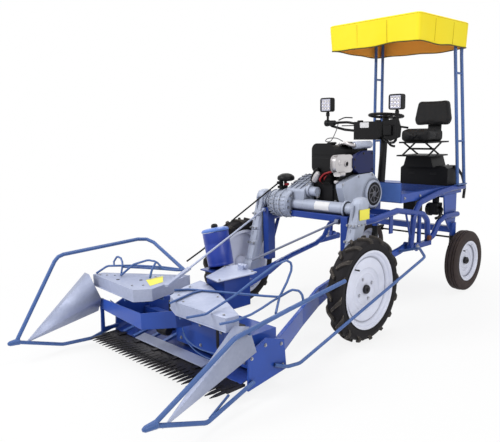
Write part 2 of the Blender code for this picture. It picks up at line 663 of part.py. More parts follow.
def seat():
    x = STATION_X
    base = DECK_TOP + GAP
    body = rounded([(x - 0.21, base), (x + 0.23, base), (x + 0.23, 1.010), (x + 0.20, 1.030), (x - 0.18, 1.030),
                    (x - 0.21, 1.010)], 0.01)
    neck = [(x - 0.150, 1.020), (x + 0.130, 1.020), (x + 0.100, 1.120), (x - 0.120, 1.120)]
    shells = [prism(body, 1, 1.500, 1.690), prism(neck, 1, 1.440, 1.660),
              block((x - 0.150, 1.330, 1.112), (x + 0.150, 1.650, 1.124))]
    for side in (LEFT, RIGHT):
        leg = x + side * 0.120
        shells.append(tube([(leg, 1.370, 1.118), (leg, 1.580, 1.222)], 0.008, sides=6))
        shells.append(tube([(leg - side * 0.020, 1.600, 1.118), (leg - side * 0.020, 1.370, 1.222)], 0.008, sides=6))
    shells.append(rod_along(0, (0, 1.480, 1.172), 0.008, x - 0.120, x + 0.120, 8))
    shells.append(block((x - 0.135, 1.340, 1.222), (x + 0.135, 1.690, 1.2347)))
    shells.append(prism([(1.6748, 1.225), (1.6890, 1.225), (1.7090, 1.560), (1.6951, 1.560)], 0, x - 0.060, x + 0.060))
    hoop = [(x + 0.232, 1.600, 1.020), (x + 0.240, 1.650, 1.010), (x + 0.240, 1.740, 0.940), (x + 0.240, 1.800, 0.840),
            (x + 0.240, 1.780, 0.740)]
    shells.append(tube(hoop, 0.012, 0.05))
    solid("seat_base", shells, "black_paint")
    cushion = rounded([(x - 0.140, 1.235), (x + 0.140, 1.235), (x + 0.140, 1.335), (x - 0.140, 1.335)], 0.03, 3)
    solid("seat_cushion", [prism(cushion, 1, 1.350, 1.610)], "seat_vinyl", bevel=0.01)
    back = rounded([(x - 0.160, 1.362), (x + 0.160, 1.362), (x + 0.180, 1.415), (x + 0.150, 1.582), (x - 0.150, 1.582),
                    (x - 0.180, 1.415)], 0.035, 3)
    low = prism(back, 1, 1.615, 1.675)
    shell = (low[0].copy(), low[1])
    shell[0][:, 1] += (shell[0][:, 2] - 1.235) * 0.0606
    solid("seat_backrest", [shell], "seat_vinyl", bevel=0.012)


def spun(shell, angle, centre, level=1):
    """The shell turned through a centre, in the upright plane of the level axis; a positive angle lowers its low end."""
    points = shell[0] - centre
    c, s = math.cos(angle), math.sin(angle)
    made = points.copy()
    made[:, level] = points[:, level] * c - points[:, 2] * s
    made[:, 2] = points[:, level] * s + points[:, 2] * c
    return made + centre, shell[1]


COLUMN_FOOT = np.array((STATION_X, 0.870, DECK_TOP + GAP))
COLUMN_LEAN = math.atan2(0.060, 0.570)
COLUMN_LENGTH = 0.545


def console():
    """Steering column with the dash, the lamps' bar and the throttle's grip."""
    x = STATION_X
    foot = COLUMN_FOOT
    shaft = turned([(-0.020, 0), (-0.020, 0.045), (0.012, 0.045), (0.020, 0.030), (COLUMN_LENGTH, 0.024),
                    (COLUMN_LENGTH, 0)], 2, (foot[0], foot[1], foot[2] + 0.0203), 16)
    shaft = spun(shaft, -COLUMN_LEAN, foot + np.array((0, 0, 0.0203)))
    floor = block((-1, -1, 0), (1, 2, DECK_TOP + GAP))
    plate = block((x - 0.060, 0.810, DECK_TOP + GAP), (x + 0.060, 0.930, DECK_TOP + 0.008))
    # lamp: middle across, foot
    lamps = {LEFT: (0.309, 1.485), RIGHT: (-0.333, 1.489)}
    left_x, left_z = lamps[LEFT]
    right_x, right_z = lamps[RIGHT]
    bar = [(right_x, 0.780, right_z), (right_x, 0.780, 1.385), (-0.200, 0.830, 1.345), (0.060, 0.900, 1.315),
           (0.200, 0.850, 1.240), (left_x, 0.780, 1.250), (left_x, 0.780, left_z)]
    shells = [shaft, plate, tube(bar, 0.010, 0.05),
              block((-0.105, 0.820, 1.265), (0.120, 0.925, 1.405)),
              turned([(-0.350, 0), (-0.350, 0.014), (-0.343, 0.021), (-0.262, 0.021), (-0.252, 0.012), (-0.225, 0.010),
                      (-0.225, 0)], 0, (0, 0.780, 1.400), 12)]
    solid("steering_console", shells, "black_paint", cuts=[floor])
    for label, side in SIDES:
        x, z = lamps[side]
        z += GAP
        outline = rounded([(x - 0.055, z), (x + 0.055, z), (x + 0.055, z + 0.112), (x - 0.055, z + 0.112)], 0.015)
        hollow = block((x - 0.046, 0.740, z + 0.009), (x + 0.046, 0.762, z + 0.103))
        solid(f"lamp_{label}", [prism(outline, 1, 0.750, 0.800)], "black_paint", cuts=[hollow])
        lens = block((x - 0.046 + GAP, 0.755, z + 0.009 + GAP), (x + 0.046 - GAP, 0.762 - GAP, z + 0.103 - GAP))
        solid(f"lamp_lens_{label}", [lens], "lamp_lens")
    # the rim, four spokes' worth of hub plate and the hub, level before it is leant with the column
    centre = foot + np.array((0, math.sin(COLUMN_LEAN), math.cos(COLUMN_LEAN))) * (COLUMN_LENGTH + GAP)
    centre = centre + np.array((0, 0, 0.0203))
    ring = [(0.018 + 0.011 * math.sin(a), 0.124 + 0.011 * math.cos(a)) for a in np.linspace(0, 2 * math.pi, 7)[:-1]]
    flat = [turned(ring, 2, centre, 28),
            turned([(0.0006, 0), (0.0006, 0.030), (0.014, 0.034), (0.026, 0.022), (0.026, 0)], 2, centre, 16)]
    for turn in (0, 1, 2):
        angle = math.radians(90 + 120 * turn)
        way = np.array((math.cos(angle), math.sin(angle), 0))
        flat.append(tube([centre + way * 0.020 + (0, 0, 0.013), centre + way * 0.122 + (0, 0, 0.018)], 0.007, sides=6))
    solid("steering_wheel", [spun(shell, -COLUMN_LEAN, centre) for shell in flat], "black_paint", "steering_hub")


def canopy():
    """Two pairs of straight posts that lean a little inwards, with the hoop that the cloth lies on."""
    inner_z = CANOPY_TOP - CANOPY_SHEET - GAP
    thin = 0.010
    level = inner_z - thin * math.cos(math.pi / 8)
    knee = CANOPY_TOP - 0.240
    x = CANOPY_HALF - CANOPY_SHEET - 0.010 - POST_TUBE - 0.007
    foot = 0.852 + FRAME_TUBE * math.cos(math.pi / 8) + GAP
    front, rear = CANOPY_FRONT + 0.032, CANOPY_REAR - 0.040
    shells = []
    for side in (LEFT, RIGHT):
        out = side * POST_X
        base = POST_Y + POST_SPACING
        # foot's y, head's y
        for low, high in ((POST_Y, rear - POST_SPACING + 0.010), (base, rear)):
            shells.append(tube([(out, low, foot + 0.004), (side * x, high, knee), (side * x, high, level)], POST_TUBE))
        shells.append(block((out - 0.018, POST_Y - 0.018, foot), (out + 0.018, base + 0.018, foot + 0.010)))
        for z in (1.235, 1.780):
            share = (z - foot) / (knee - foot)
            across = out + (side * x - out) * share
            shells.append(tube([(across, POST_Y + (rear - POST_SPACING + 0.010 - POST_Y) * share, z),
                                (across, base + (rear - base) * share, z)], 0.009))
        shells.append(tube([(side * x, front, level), (side * x, rear, level)], thin))
    for y in (front, (front + rear) / 2, rear):
        shells.append(tube([(-x, y, level), (x, y, level)], thin))
    solid("canopy_frame", shells, "steel_blue_paint")
    solid("canopy", [canopy_shell()], "canopy_cloth")


def canopy_shell():
    """Cloth with a level top and a plain valance, as one sheet of even thickness."""
    middle = (CANOPY_REAR + CANOPY_FRONT) / 2
    half_y = (CANOPY_REAR - CANOPY_FRONT) / 2

    def row(into, level):
        x, y = CANOPY_HALF - into, half_y - into
        outline = rounded([(-x, middle - y), (x, middle - y), (x, middle + y), (-x, middle + y)], 0.045 - into, 4)
        return [(point[0], point[1], level) for point in outline]

    sheet = CANOPY_SHEET
    shoulder = CANOPY_TOP - 0.016
    rings = [row(sheet + 0.014, CANOPY_TOP - sheet), row(sheet, shoulder - 0.001), row(sheet + 0.010, CANOPY_HEM),
             row(0.010, CANOPY_HEM), row(0.0, shoulder), row(0.012, CANOPY_TOP)]
    return lofted(rings)


# Header


def header():
    front_z = CUTTER_Z + CUTTER_THICK + GAP
    shells = [block((-0.636, -0.860, 0.100), (0.636, -0.810, 0.170))]
    plate = [(-1.088, 0.041), (-1.076, 0.241), (-0.950, 0.290), (-0.817, 0.250), (-0.800, 0.080)]
    # position across, along and up, half height
    front_arm = [(0.585, -0.840, 0.165, 0.060), (0.400, -0.400, 0.215, 0.055), (0.330, -0.160, 0.275, 0.060)]
    arms = {LEFT: front_arm + [(0.305, 0.050, 0.320, 0.045), (0.305, 0.450, 0.360, 0.025), (0.340, 0.800, 0.430, 0.024),
                               (0.340, PIVOT_Y, PIVOT_Z, 0.024)],
            RIGHT: front_arm + [(0.305, 0.050, 0.318, 0.032), (0.305, 0.200, 0.368, 0.018)]}
    # the right arm goes on as a tube, up under the platform, with a flat link to its pivot
    climb = [(-0.305, 0.150, 0.355), (-0.305, 0.300, 0.388), (-0.305, 0.600, 0.436), (-0.305, 0.700, 0.478),
             (-0.305, 0.770, 0.575), (-0.305, 0.900, 0.610)]
    for side in (LEFT, RIGHT):
        low, high = sorted((side * (END_PLATE_X - END_PLATE_THICK / 2), side * (END_PLATE_X + END_PLATE_THICK / 2)))
        shells.append(prism(plate, 0, low, high))
        rings = [[(side * x - 0.012, y, z - h), (side * x + 0.012, y, z - h), (side * x + 0.012, y, z + h),
                  (side * x - 0.012, y, z + h)] for x, y, z, h in arms[side]]
        shells.append(lofted(rings))
        low, high = sorted((side * (RAIL_X - 0.082), side * (RAIL_X - 0.036)))
        shells.append(rod_along(0, (0, PIVOT_Y, PIVOT_Z), ARM_BOSS, low, high))
    shells.append(tube(climb, 0.020, 0.06))
    link = [(0.640, 0.430), (PIVOT_Y, PIVOT_Z - 0.018), (PIVOT_Y, PIVOT_Z + 0.018), (0.650, 0.462)]
    shells.append(prism(link, 0, -0.325, -0.301))
    shells.append(block((-0.050, -1.020, 0.120), (0.580, -0.815, 0.300)))
    strip = [(-0.622, -1.190), (-0.560, -1.200), (-0.090, -1.235), (0.060, -1.100), (0.100, -1.000)]
    base = [0.236, 0.236, 0.231, 0.245, 0.250]
    top = [0.304, 0.310, 0.328, 0.345, 0.350]
    path = [(x, y, (low + high) / 2) for (x, y), low, high in zip(strip, base, top)]
    sections = [[(-0.0025, -h), (0.0025, -h), (0.0025, h), (-0.0025, h)]
                for h in ((high - low) / 2 for low, high in zip(base, top))]
    shells.append(lofted(carried(path, sections)))
    post_top = COVER_TOP - COVER_SHEET - GAP
    shells.append(block((-0.629, -1.200, 0.080), (-0.613, -1.176, 0.300)))
    shells.append(block((-0.629, -1.190, 0.080), (-0.617, -1.070, 0.104)))
    shells.append(block((-0.240, -0.860, 0.160), (-0.216, -0.836, post_top)))
    shells.append(block((0.018, -0.882, 0.290), (0.042, -0.858, post_top)))
    shells.append(block((0.490, -1.110, 0.220), (0.514, -1.086, post_top)))
    shells.append(block((0.490, -1.100, 0.220), (0.514, -1.000, 0.244)))
    solid("header_frame", shells, "blue_paint", "header_pivot")
    sheet = [(-1.100, front_z), (-1.020, front_z + 0.016), (-0.870, front_z + 0.040), (-0.8603, front_z + 0.040),
             (-0.8603, front_z + 0.044), (-0.872, front_z + 0.044), (-1.021, front_z + 0.020), (-1.100, front_z + 0.004)]
    cut_out = block((-0.0503, -1.0203, 0.119), (0.5803, -0.800, 0.302))
    solid("deck_plate", [prism(sheet, 0, -0.600, 0.600)], "dark_blue_paint", "header_pivot", cuts=[cut_out])
    cutter(front_z)
    covers()
    dividers()
    binder()


def cutter(front_z):
    """Finger comb, with the reciprocating knife on it."""
    half = CUT_WIDTH / 2
    top = CUTTER_Z + CUTTER_THICK
    count = int(round(CUT_WIDTH / TOOTH_PITCH))
    root = CUTTER_TIP + TOOTH_LENGTH
    shells = [block((-half, root - 0.006, CUTTER_Z), (half, CUTTER_BACK, top))]
    for i in range(count):
        x = (i - (count - 1) / 2) * TOOTH_PITCH
        rings = []
        for y, wide, low, high in ((root + 0.004, 0.0095, 0.001, 0.0115), (root - 0.060, 0.0075, 0.001, 0.011),
                                   (CUTTER_TIP, 0.0015, 0.004, 0.007)):
            rings.append([(x - wide, y, CUTTER_Z + low), (x + wide, y, CUTTER_Z + low),
                          (x + wide, y, CUTTER_Z + high), (x - wide, y, CUTTER_Z + high)])
        shells.append(lofted(rings))
    solid("cutter_bar", shells, "cutter_steel", "header_pivot")
    blades = [(0.590, -1.132), (-0.590, -1.132)]
    count = 30
    pitch = 1.18 / count
    for i in range(count):
        x = -0.590 + pitch * i
        blades += [(x, -1.172), (x + pitch / 2 - 0.003, -1.225), (x + pitch / 2 + 0.003, -1.225)]
    blades.append((0.590, -1.172))
    solid("knife", [prism(blades, 2, top + GAP, top + GAP + 0.003)], "silver_metal", "knife_slide")


RIGHT_COVER = ((-0.694, -1.196), (-0.175, -1.227), (-0.110, -1.139), (-0.204, -0.784), (-0.686, -1.129))
LEFT_COVER = ((0.205, -1.202), (0.608, -1.200), (0.615, -1.118), (0.350, -0.982), (0.148, -0.887), (0.011, -0.831),
              (-0.050, -0.827), (-0.008, -0.982), (0.077, -1.146))


def inset(outline, amount):
    """A convex-cornered outline moved inwards by an even amount."""
    points = [np.asarray(point, float) for point in outline]
    area = sum(a[0] * b[1] - b[0] * a[1] for a, b in zip(points, points[1:] + points[:1]))
    turn = 1.0 if area > 0 else -1.0
    made = []
    for i, point in enumerate(points):
        before, after = points[i - 1], points[(i + 1) % len(points)]
        one = (point - before) / np.linalg.norm(point - before)
        two = (after - point) / np.linalg.norm(after - point)
        normal_one = np.array((-one[1], one[0])) * turn
        normal_two = np.array((-two[1], two[0])) * turn
        middle = normal_one + normal_two
        made.append(point + middle * amount / (1.0 + float(np.dot(normal_one, normal_two))))
    return made


def covers():
    """Sheet trays over the star wheels, open below."""
    for label, outline in (("right", RIGHT_COVER), ("left", LEFT_COVER)):
        low = COVER_TOP - COVER_DEPTH
        tray = prism(outline, 2, low, COVER_TOP)
        hollow = prism(inset(outline, COVER_SHEET), 2, low - 0.01, COVER_TOP - COVER_SHEET)
        solid(f"cover_{label}", [tray], "galvanised_sheet", "header_pivot", cuts=[hollow])
    for label, centre in (("right", (-0.300, -1.050)), ("left", (0.220, -1.030))):
        outline = []
        for i in range(STAR_TEETH):
            for share, radius in ((0.0, STAR_RADIUS), (0.10, STAR_RADIUS), (0.55, STAR_RADIUS * 0.52), (0.95, STAR_RADIUS * 0.58)):
                angle = 2 * math.pi * (i + share) / STAR_TEETH
                outline.append((centre[0] + radius * math.cos(angle), centre[1] + radius * math.sin(angle)))
        shells = [prism(outline, 2, STAR_Z, STAR_Z + 0.012),
                  rod_along(2, centre + (0,), 0.012, STAR_Z - 0.020, COVER_TOP - COVER_SHEET - GAP),
                  rod_along(2, centre + (0,), 0.030, STAR_Z - 0.004, STAR_Z + 0.030)]
        solid(f"star_wheel_{label}", shells, "steel_blue_paint", f"star_{label}")


def cone(side, apex, back, inner_share, name):
    """A hollow divider point: a skin from a small ring at the apex to an open outline behind."""
    back = [np.asarray(point, float) for point in back]
    middle = sum(back) / len(back)
    apex = np.asarray(apex, float)
    small = [apex + (point - middle) * 0.04 for point in back]
    outer = lofted([small, back])
    beyond = [point + (middle - point) * (1 - inner_share) for point in back]
    way = middle - apex
    reach = [point + way * 0.02 for point in beyond]
    start = [apex + way * 0.10 + (point - middle) * (0.05 + 0.95 * 0.10) * inner_share * 0.75 for point in back]
    solid(name, [outer], "galvanised_sheet", "header_pivot", cuts=[lofted([start, beyond, reach])])


def dividers():
    """Crop guards of bent tube and rod, with the sheet points, and the bar that keeps crop off the left wheel."""
    skid_x = END_PLATE_X + END_PLATE_THICK / 2 + GAP + SKID_TUBE + 0.0005
    lid = COVER_TOP + ROD + GAP
    bar_z = 0.500
    for label, side in SIDES:
        x = side * TIP_X
        # along y, radius of the toe
        rings = [[(x + px, TIP_Y + y, TIP_Z + pz) for px, pz in circle(r, 8, math.pi / 8)]
                 for y, r in ((0.0, 0.008), (0.012, 0.015), (0.070, 0.021))]
        start = (x, TIP_Y + 0.050, TIP_Z)
        if side == RIGHT:
            guard = [start, (-0.750, -1.404, 0.600), (-0.700, -0.757, 0.632), (-0.250, -0.780, 0.464)]
            skid = [start, (-0.710, -1.427, SKID_Z), (-skid_x, -1.253, SKID_Z + 0.009), (-skid_x, -1.060, 0.090)]
            rods = [[(-0.672, -1.185, lid), (-0.640, -1.120, bar_z), (-0.516, -0.990, bar_z), (-0.342, -0.895, bar_z),
                     (-0.215, -0.815, 0.488), (-0.250, -0.783, 0.466)],
                    [(-0.610, -1.088, bar_z), (-0.638, -1.072, 0.545), (-0.585, -1.055, 0.562), (-0.535, -1.068, 0.525),
                     (-0.522, -1.092, lid)],
                    [(-0.545, -1.070, bar_z), (-0.430, -1.000, bar_z), (-0.290, -0.925, bar_z), (-0.205, -0.858, 0.492),
                     (-0.228, -0.810, 0.484)],
                    [(-0.500, -1.110, lid), (-0.455, -1.040, 0.525), (-0.385, -0.975, 0.553), (-0.330, -0.950, 0.548),
                     (-0.290, -0.925, bar_z)],
                    [(-0.330, -0.950, 0.548), (-0.310, -1.000, 0.505), (-0.305, -1.020, lid)]]
        else:
            guard = [start, (0.720, -1.243, 0.391), (0.680, -0.812, 0.423), (0.680, -0.334, 0.480)]
            skid = [start, (0.720, -1.428, SKID_Z), (skid_x, -1.120, 0.070), (skid_x, -1.060, 0.090)]
            knot = (0.567, -0.771, lid)
            rods = [[(0.472, -1.337, lid), (0.500, -1.236, lid), (0.466, -1.100, 0.473), (0.490, -1.030, 0.507),
                     (0.520, -0.935, 0.565), (0.562, -0.800, 0.640), (0.570, -0.690, 0.655), (0.568, -0.668, 0.600),
                     (0.568, -0.712, 0.528), knot],
                    [(0.030, -1.080, lid), (0.082, -1.012, lid), (0.227, -0.939, lid), (0.360, -0.877, lid),
                     (0.487, -0.816, lid), knot, (0.620, -0.750, 0.496), (0.650, -0.731, 0.512), (0.673, -0.708, 0.484),
                     (0.680, -0.704, 0.445)],
                    [(0.664, -1.287, lid), (0.682, -1.207, lid), (0.669, -1.085, lid), (0.635, -0.973, lid),
                     (0.593, -0.858, lid), knot],
                    [(0.214, -1.246, lid), (0.149, -1.040, lid), (0.152, -0.976, lid)],
                    [knot, (0.680, -0.921, 0.425)],
                    [(0.706, -1.400, SKID_Z + 0.006), (0.632, -1.215, 0.064)]]
        shells = [lofted(rings), tube(guard, GUARD_TUBE, 0.08), tube(skid, SKID_TUBE, 0.06)]
        if side == LEFT:
            shells.append(block((0.6889, -1.138, 0.372), (0.712, -1.128, 0.400)))
        shells += [tube(path, ROD, 0.03, sides=6, steps=1) for path in rods]
        solid(f"crop_guard_{label}", shells, "steel_blue_paint", "header_pivot")
    cone(RIGHT, (-0.711, TIP_Y + 0.125, 0.124), [(-0.740, -1.230, 0.460), (-0.648, -1.250, 0.468),
         (-0.580, -1.210, 0.312), (-0.645, -1.200, 0.215), (-0.735, -1.200, 0.250)], 0.93, "divider_cone_right")
    cone(LEFT, (0.692, TIP_Y + 0.148, 0.137), [(0.625, -1.165, 0.408), (0.688, -1.120, 0.408), (0.688, -1.070, 0.262),
         (0.644, -1.093, 0.250)], 0.93, "divider_cone_left")
    beside = FRONT_TRACK / 2 + FRONT_TYRE_WIDTH / 2 + 0.045
    bar = [(0.648, -0.900, 0.130), (0.665, -0.817, 0.100), (beside, -0.734, 0.099), (beside, 0.578, 0.469),
           (0.520, 0.780, 0.480), (0.3523 + ROD, 0.785, 0.430)]
    solid("wheel_guard_bar", [tube(bar, 0.010, 0.08)], "steel_blue_paint", "header_pivot",
          cuts=[block((0.600, -1.0, 0.0), (0.6413, -0.80, 0.4)), block((0.30, 0.70, 0.35), (0.3523, 0.90, 0.50))])


def binder():
    """Knotter's case under its sheet table, and the leaning twine can on its shelf."""
    table = [(0.062, -0.870), (-0.047, -0.631), (-0.025, -0.538), (0.175, -0.589), (0.202, -0.581), (0.219, -0.632),
             (0.201, -0.900)]
    under = 0.497
    shells = [prism(table, 2, under, under + 0.006), block((0.065, -0.610, under + 0.002), (0.105, -0.570, 0.530)),
              rod_along(0, (0, -0.588, 0.520), 0.014, 0.050, 0.120, 12)]
    solid("knotter_table", shells, "galvanised_sheet", "header_pivot")
    shells = [block((0.020, -0.830, 0.3003), (0.180, -0.620, under - GAP)),
              block((-0.350, -0.580, SHELF_Z - 0.008), (-0.165, -0.375, SHELF_Z)),
              block((-0.200, -0.580, SHELF_Z - 0.008), (0.105, -0.522, SHELF_Z)),
              block((0.030, -0.660, SHELF_Z - 0.008), (0.105, -0.550, SHELF_Z))]
    solid("knotter", shells, "dark_blue_paint", "header_pivot")
    radius = 0.080
    lean = math.radians(13)
    foot = np.array((-0.264, -0.466, SHELF_Z + GAP + radius * math.sin(lean)))
    profile = [(0.0, 0), (0.0, radius), (0.008, 0.088), (0.236, 0.090), (0.238, 0.094), (0.248, 0.094), (0.258, 0.086),
               (0.264, 0.030), (0.268, 0.016), (0.284, 0.016), (0.290, 0.010), (0.290, 0)]
    can = spun(turned(profile, 2, foot, 20), lean, foot, level=0)
    solid("twine_can", [can], "can_blue", "header_pivot")


# Links between chassis and header: each hangs on its chassis end

LINK_Y = CROSS_BEAM_FRONT - GAP - LINK_BOSS
TRIP = (LEG_X - LEG_WIDTH / 2 - 0.035, LINK_Y, 0.738)
STAY_BOSS = 0.012
STAY = (-(LEG_X + 0.0075), LEG_FRONT - GAP - STAY_BOSS, 0.765)
CLUTCH = (BELL_RIGHT + 0.075, 0.118 - GAP - STAY_BOSS, 0.970)


def links():
    """Rods that run forward and down from the frame to the header."""
    x, y, z = TRIP
    shells = [rod_along(0, (0, y, z), LINK_BOSS, x - 0.015, x + 0.015, 12), tube([TRIP, (0.044, -0.471, 0.530)], 0.008, sides=6)]
    solid("trip_rod", shells, "silver_metal", "trip_rod_hinge")
    x, y, z = STAY
    strap = [(-0.010, -0.935, 0.555), (0.043, -1.145, 0.499)]
    shells = [rod_along(0, (0, y, z), STAY_BOSS, x - 0.012, x + 0.012, 12), tube([STAY, strap[0]], 0.007, sides=6),
              lofted(carried(strap, [[(-0.012, -0.007), (0.012, -0.007), (0.012, 0.007), (-0.012, 0.007)]] * 2))]
    solid("lift_rod", shells, "galvanised_sheet", "lift_rod_hinge")
    x, y, z = CLUTCH
    shells = [rod_along(0, (0, y, z), STAY_BOSS, x - 0.008, x + 0.008, 12),
              tube([CLUTCH, (x - 0.121, -0.232, 0.731), (x - 0.164, -0.489, 0.544), (x - 0.157, -0.645, 0.484)], 0.006,
                   0.10, sides=6)]
    solid("clutch_rod", shells, "black_paint", "clutch_rod_hinge")


def joints():
    """The empties at the joints, each in the machine's own frame."""
    pivot("machine", (0, -(FRONT_REACH + REAR_REACH) / 2, 0))
    for label, side in SIDES:
        pivot(f"front_hub_{label}", (side * FRONT_TRACK / 2, 0, FRONT_TYRE_RADIUS))
        pivot(f"kingpin_{label}", (side * KINGPIN_X, WHEELBASE, AXLE_BEAM_Z))
        pivot(f"rear_hub_{label}", (side * REAR_TRACK / 2, WHEELBASE, REAR_TYRE_RADIUS), f"kingpin_{label}")
    pivot("tie_rod_slide", (0, WHEELBASE + STEER_ARM, TIE_ROD_Z))
    pivot("steering_hub", (STATION_X, 0.930, 1.430))
    pivot("header_pivot", (0, PIVOT_Y, PIVOT_Z))
    pivot("knife_slide", (0, -1.18, CUTTER_Z), "header_pivot")
    pivot("star_right", (-0.300, -1.050, STAR_Z), "header_pivot")
    pivot("star_left", (0.220, -1.030, STAR_Z), "header_pivot")
    pivot("trip_rod_hinge", TRIP)
    pivot("lift_rod_hinge", STAY)
    pivot("clutch_rod_hinge", CLUTCH)


clear_scene()
joints()
front_wheels()
rear_wheels()
axles()
transmission()
frame()
engine()
rear_axle()
deck()
seat()
console()
canopy()
header()
links()
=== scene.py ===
"""Looks of a ride-on reaper binder: coats, tyres, seat pads, canopy cloth, engine dressing and fasteners.

Places are given from the front axle line: x to the machine's left, y to its rear, z up, in metres.
"""

import math

import bmesh
import bpy
import numpy as np
from mathutils import Matrix, Vector
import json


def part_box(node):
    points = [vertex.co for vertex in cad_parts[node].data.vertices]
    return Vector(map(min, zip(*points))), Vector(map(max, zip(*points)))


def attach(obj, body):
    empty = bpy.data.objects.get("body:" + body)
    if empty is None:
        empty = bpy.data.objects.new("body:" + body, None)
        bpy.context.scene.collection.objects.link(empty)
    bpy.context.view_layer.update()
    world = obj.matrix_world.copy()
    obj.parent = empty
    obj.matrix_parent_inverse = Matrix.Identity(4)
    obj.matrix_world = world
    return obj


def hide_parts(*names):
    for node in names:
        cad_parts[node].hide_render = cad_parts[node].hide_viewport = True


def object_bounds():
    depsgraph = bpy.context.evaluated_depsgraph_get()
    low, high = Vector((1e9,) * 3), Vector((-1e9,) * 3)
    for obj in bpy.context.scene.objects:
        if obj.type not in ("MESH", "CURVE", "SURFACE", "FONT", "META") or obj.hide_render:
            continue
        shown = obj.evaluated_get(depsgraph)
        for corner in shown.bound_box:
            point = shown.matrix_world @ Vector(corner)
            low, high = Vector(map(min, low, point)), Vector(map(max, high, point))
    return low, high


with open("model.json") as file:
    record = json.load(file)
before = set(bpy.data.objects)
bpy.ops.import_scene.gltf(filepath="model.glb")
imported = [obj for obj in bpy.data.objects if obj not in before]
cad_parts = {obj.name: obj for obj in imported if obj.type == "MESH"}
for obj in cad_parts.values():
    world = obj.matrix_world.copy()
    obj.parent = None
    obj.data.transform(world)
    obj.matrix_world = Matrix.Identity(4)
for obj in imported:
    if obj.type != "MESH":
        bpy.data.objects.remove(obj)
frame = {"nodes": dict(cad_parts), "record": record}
cad_low, cad_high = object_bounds()
cad_nodes = frame["nodes"]

# The front axle line lies here in the part's own frame
AXLE_Y = -0.0195
LEFT, RIGHT = 1, -1
LABEL = {LEFT: "left", RIGHT: "right"}

# Camera at the photograph's place and angle
EYE = (2.6543457, -2.9902971, 1.3652888)
EYE_AZIMUTH = 0.8051666
EYE_PITCH = 0.1582875
EYE_ROLL = -0.0181881
FOCAL_PIXELS = 577.3378
PICTURE_WIDTH = 500
SENSOR = 36


def place_camera():
    """The view's back vector comes from azimuth and pitch; roll turns the right and up vectors about it."""
    a, e, roll = EYE_AZIMUTH, EYE_PITCH, EYE_ROLL
    back = Vector((math.sin(a) * math.cos(e), -math.cos(a) * math.cos(e), math.sin(e)))
    right = (-back).cross(Vector((0, 0, 1))).normalized()
    up = right.cross(-back)
    turned_right = math.cos(roll) * right + math.sin(roll) * up
    turned_up = -math.sin(roll) * right + math.cos(roll) * up
    data = bpy.data.cameras.new("camera")
    data.sensor_width = SENSOR
    data.lens = FOCAL_PIXELS / PICTURE_WIDTH * SENSOR
    data.clip_end = 60
    camera = bpy.data.objects.new("camera", data)
    bpy.context.scene.collection.objects.link(camera)
    matrix = Matrix((turned_right, turned_up, back)).transposed().to_4x4()
    matrix.translation = Vector((EYE[0], EYE[1] + AXLE_Y, EYE[2]))
    camera.matrix_world = matrix
    bpy.context.scene.camera = camera


# Node trees


class Tree:
    """A node tree with short calls for adding a node and joining sockets."""

    def __init__(self, tree):
        self.tree = tree

    def add(self, kind, **values):
        node = self.tree.nodes.new(kind)
        for key, value in values.items():
            setattr(node, key, value)
        return node

    def link(self, source, target):
        self.tree.links.new(source, target)

    def feed(self, target, value):
        if isinstance(value, bpy.types.NodeSocket):
            self.link(value, target)
        else:
            target.default_value = value

    def maths(self, operation, a, b=0.0, clamp=False):
        node = self.add("ShaderNodeMath", operation=operation, use_clamp=clamp)
        self.feed(node.inputs[0], a)
        self.feed(node.inputs[1], b)
        return node.outputs[0]

    def vector(self, operation, a, b=None):
        node = self.add("ShaderNodeVectorMath", operation=operation)
        self.feed(node.inputs[0], a)
        if b is not None:
            self.feed(node.inputs[1], b)
        return node.outputs["Value"]

    def span(self, value, low, high, out_low=0.0, out_high=1.0):
        node = self.add("ShaderNodeMapRange")
        for socket, given in zip(node.inputs, (value, low, high, out_low, out_high)):
            self.feed(socket, given)
        return node.outputs[0]

    def mix(self, share, one, two, blend="MIX"):
        node = self.add("ShaderNodeMix", data_type="RGBA", blend_type=blend)
        self.feed(node.inputs[0], share)
        self.feed(node.inputs[6], one)
        self.feed(node.inputs[7], two)
        return node.outputs[2]

    def noise(self, where, scale, detail=3.0, roughness=0.55):
        node = self.add("ShaderNodeTexNoise")
        self.feed(node.inputs["Vector"], where)
        self.feed(node.inputs["Scale"], scale)
        node.inputs["Detail"].default_value = detail
        node.inputs["Roughness"].default_value = roughness
        return node.outputs["Fac"]

    def bump(self, height, strength, distance, normal=None):
        node = self.add("ShaderNodeBump")
        self.feed(node.inputs["Height"], height)
        self.feed(node.inputs["Strength"], strength)
        node.inputs["Distance"].default_value = distance
        if normal is not None:
            self.feed(node.inputs["Normal"], normal)
        return node.outputs[0]


def new_group(name, takes, gives):
    """takes: (name, kind, value); gives: (name, kind)."""
    group = bpy.data.node_groups.new(name, "ShaderNodeTree")
    for label, kind, value in takes:
        socket = group.interface.new_socket(label, in_out="INPUT", socket_type=kind)
        socket.default_value = value
    for label, kind in gives:
        group.interface.new_socket(label, in_out="OUTPUT", socket_type=kind)
    tree = Tree(group)
    return group, tree, tree.add("NodeGroupInput"), tree.add("NodeGroupOutput")


FLOAT, COLOUR, VECTOR = "NodeSocketFloat", "NodeSocketColor", "NodeSocketVector"
WHITE = (1.0, 1.0, 1.0, 1.0)


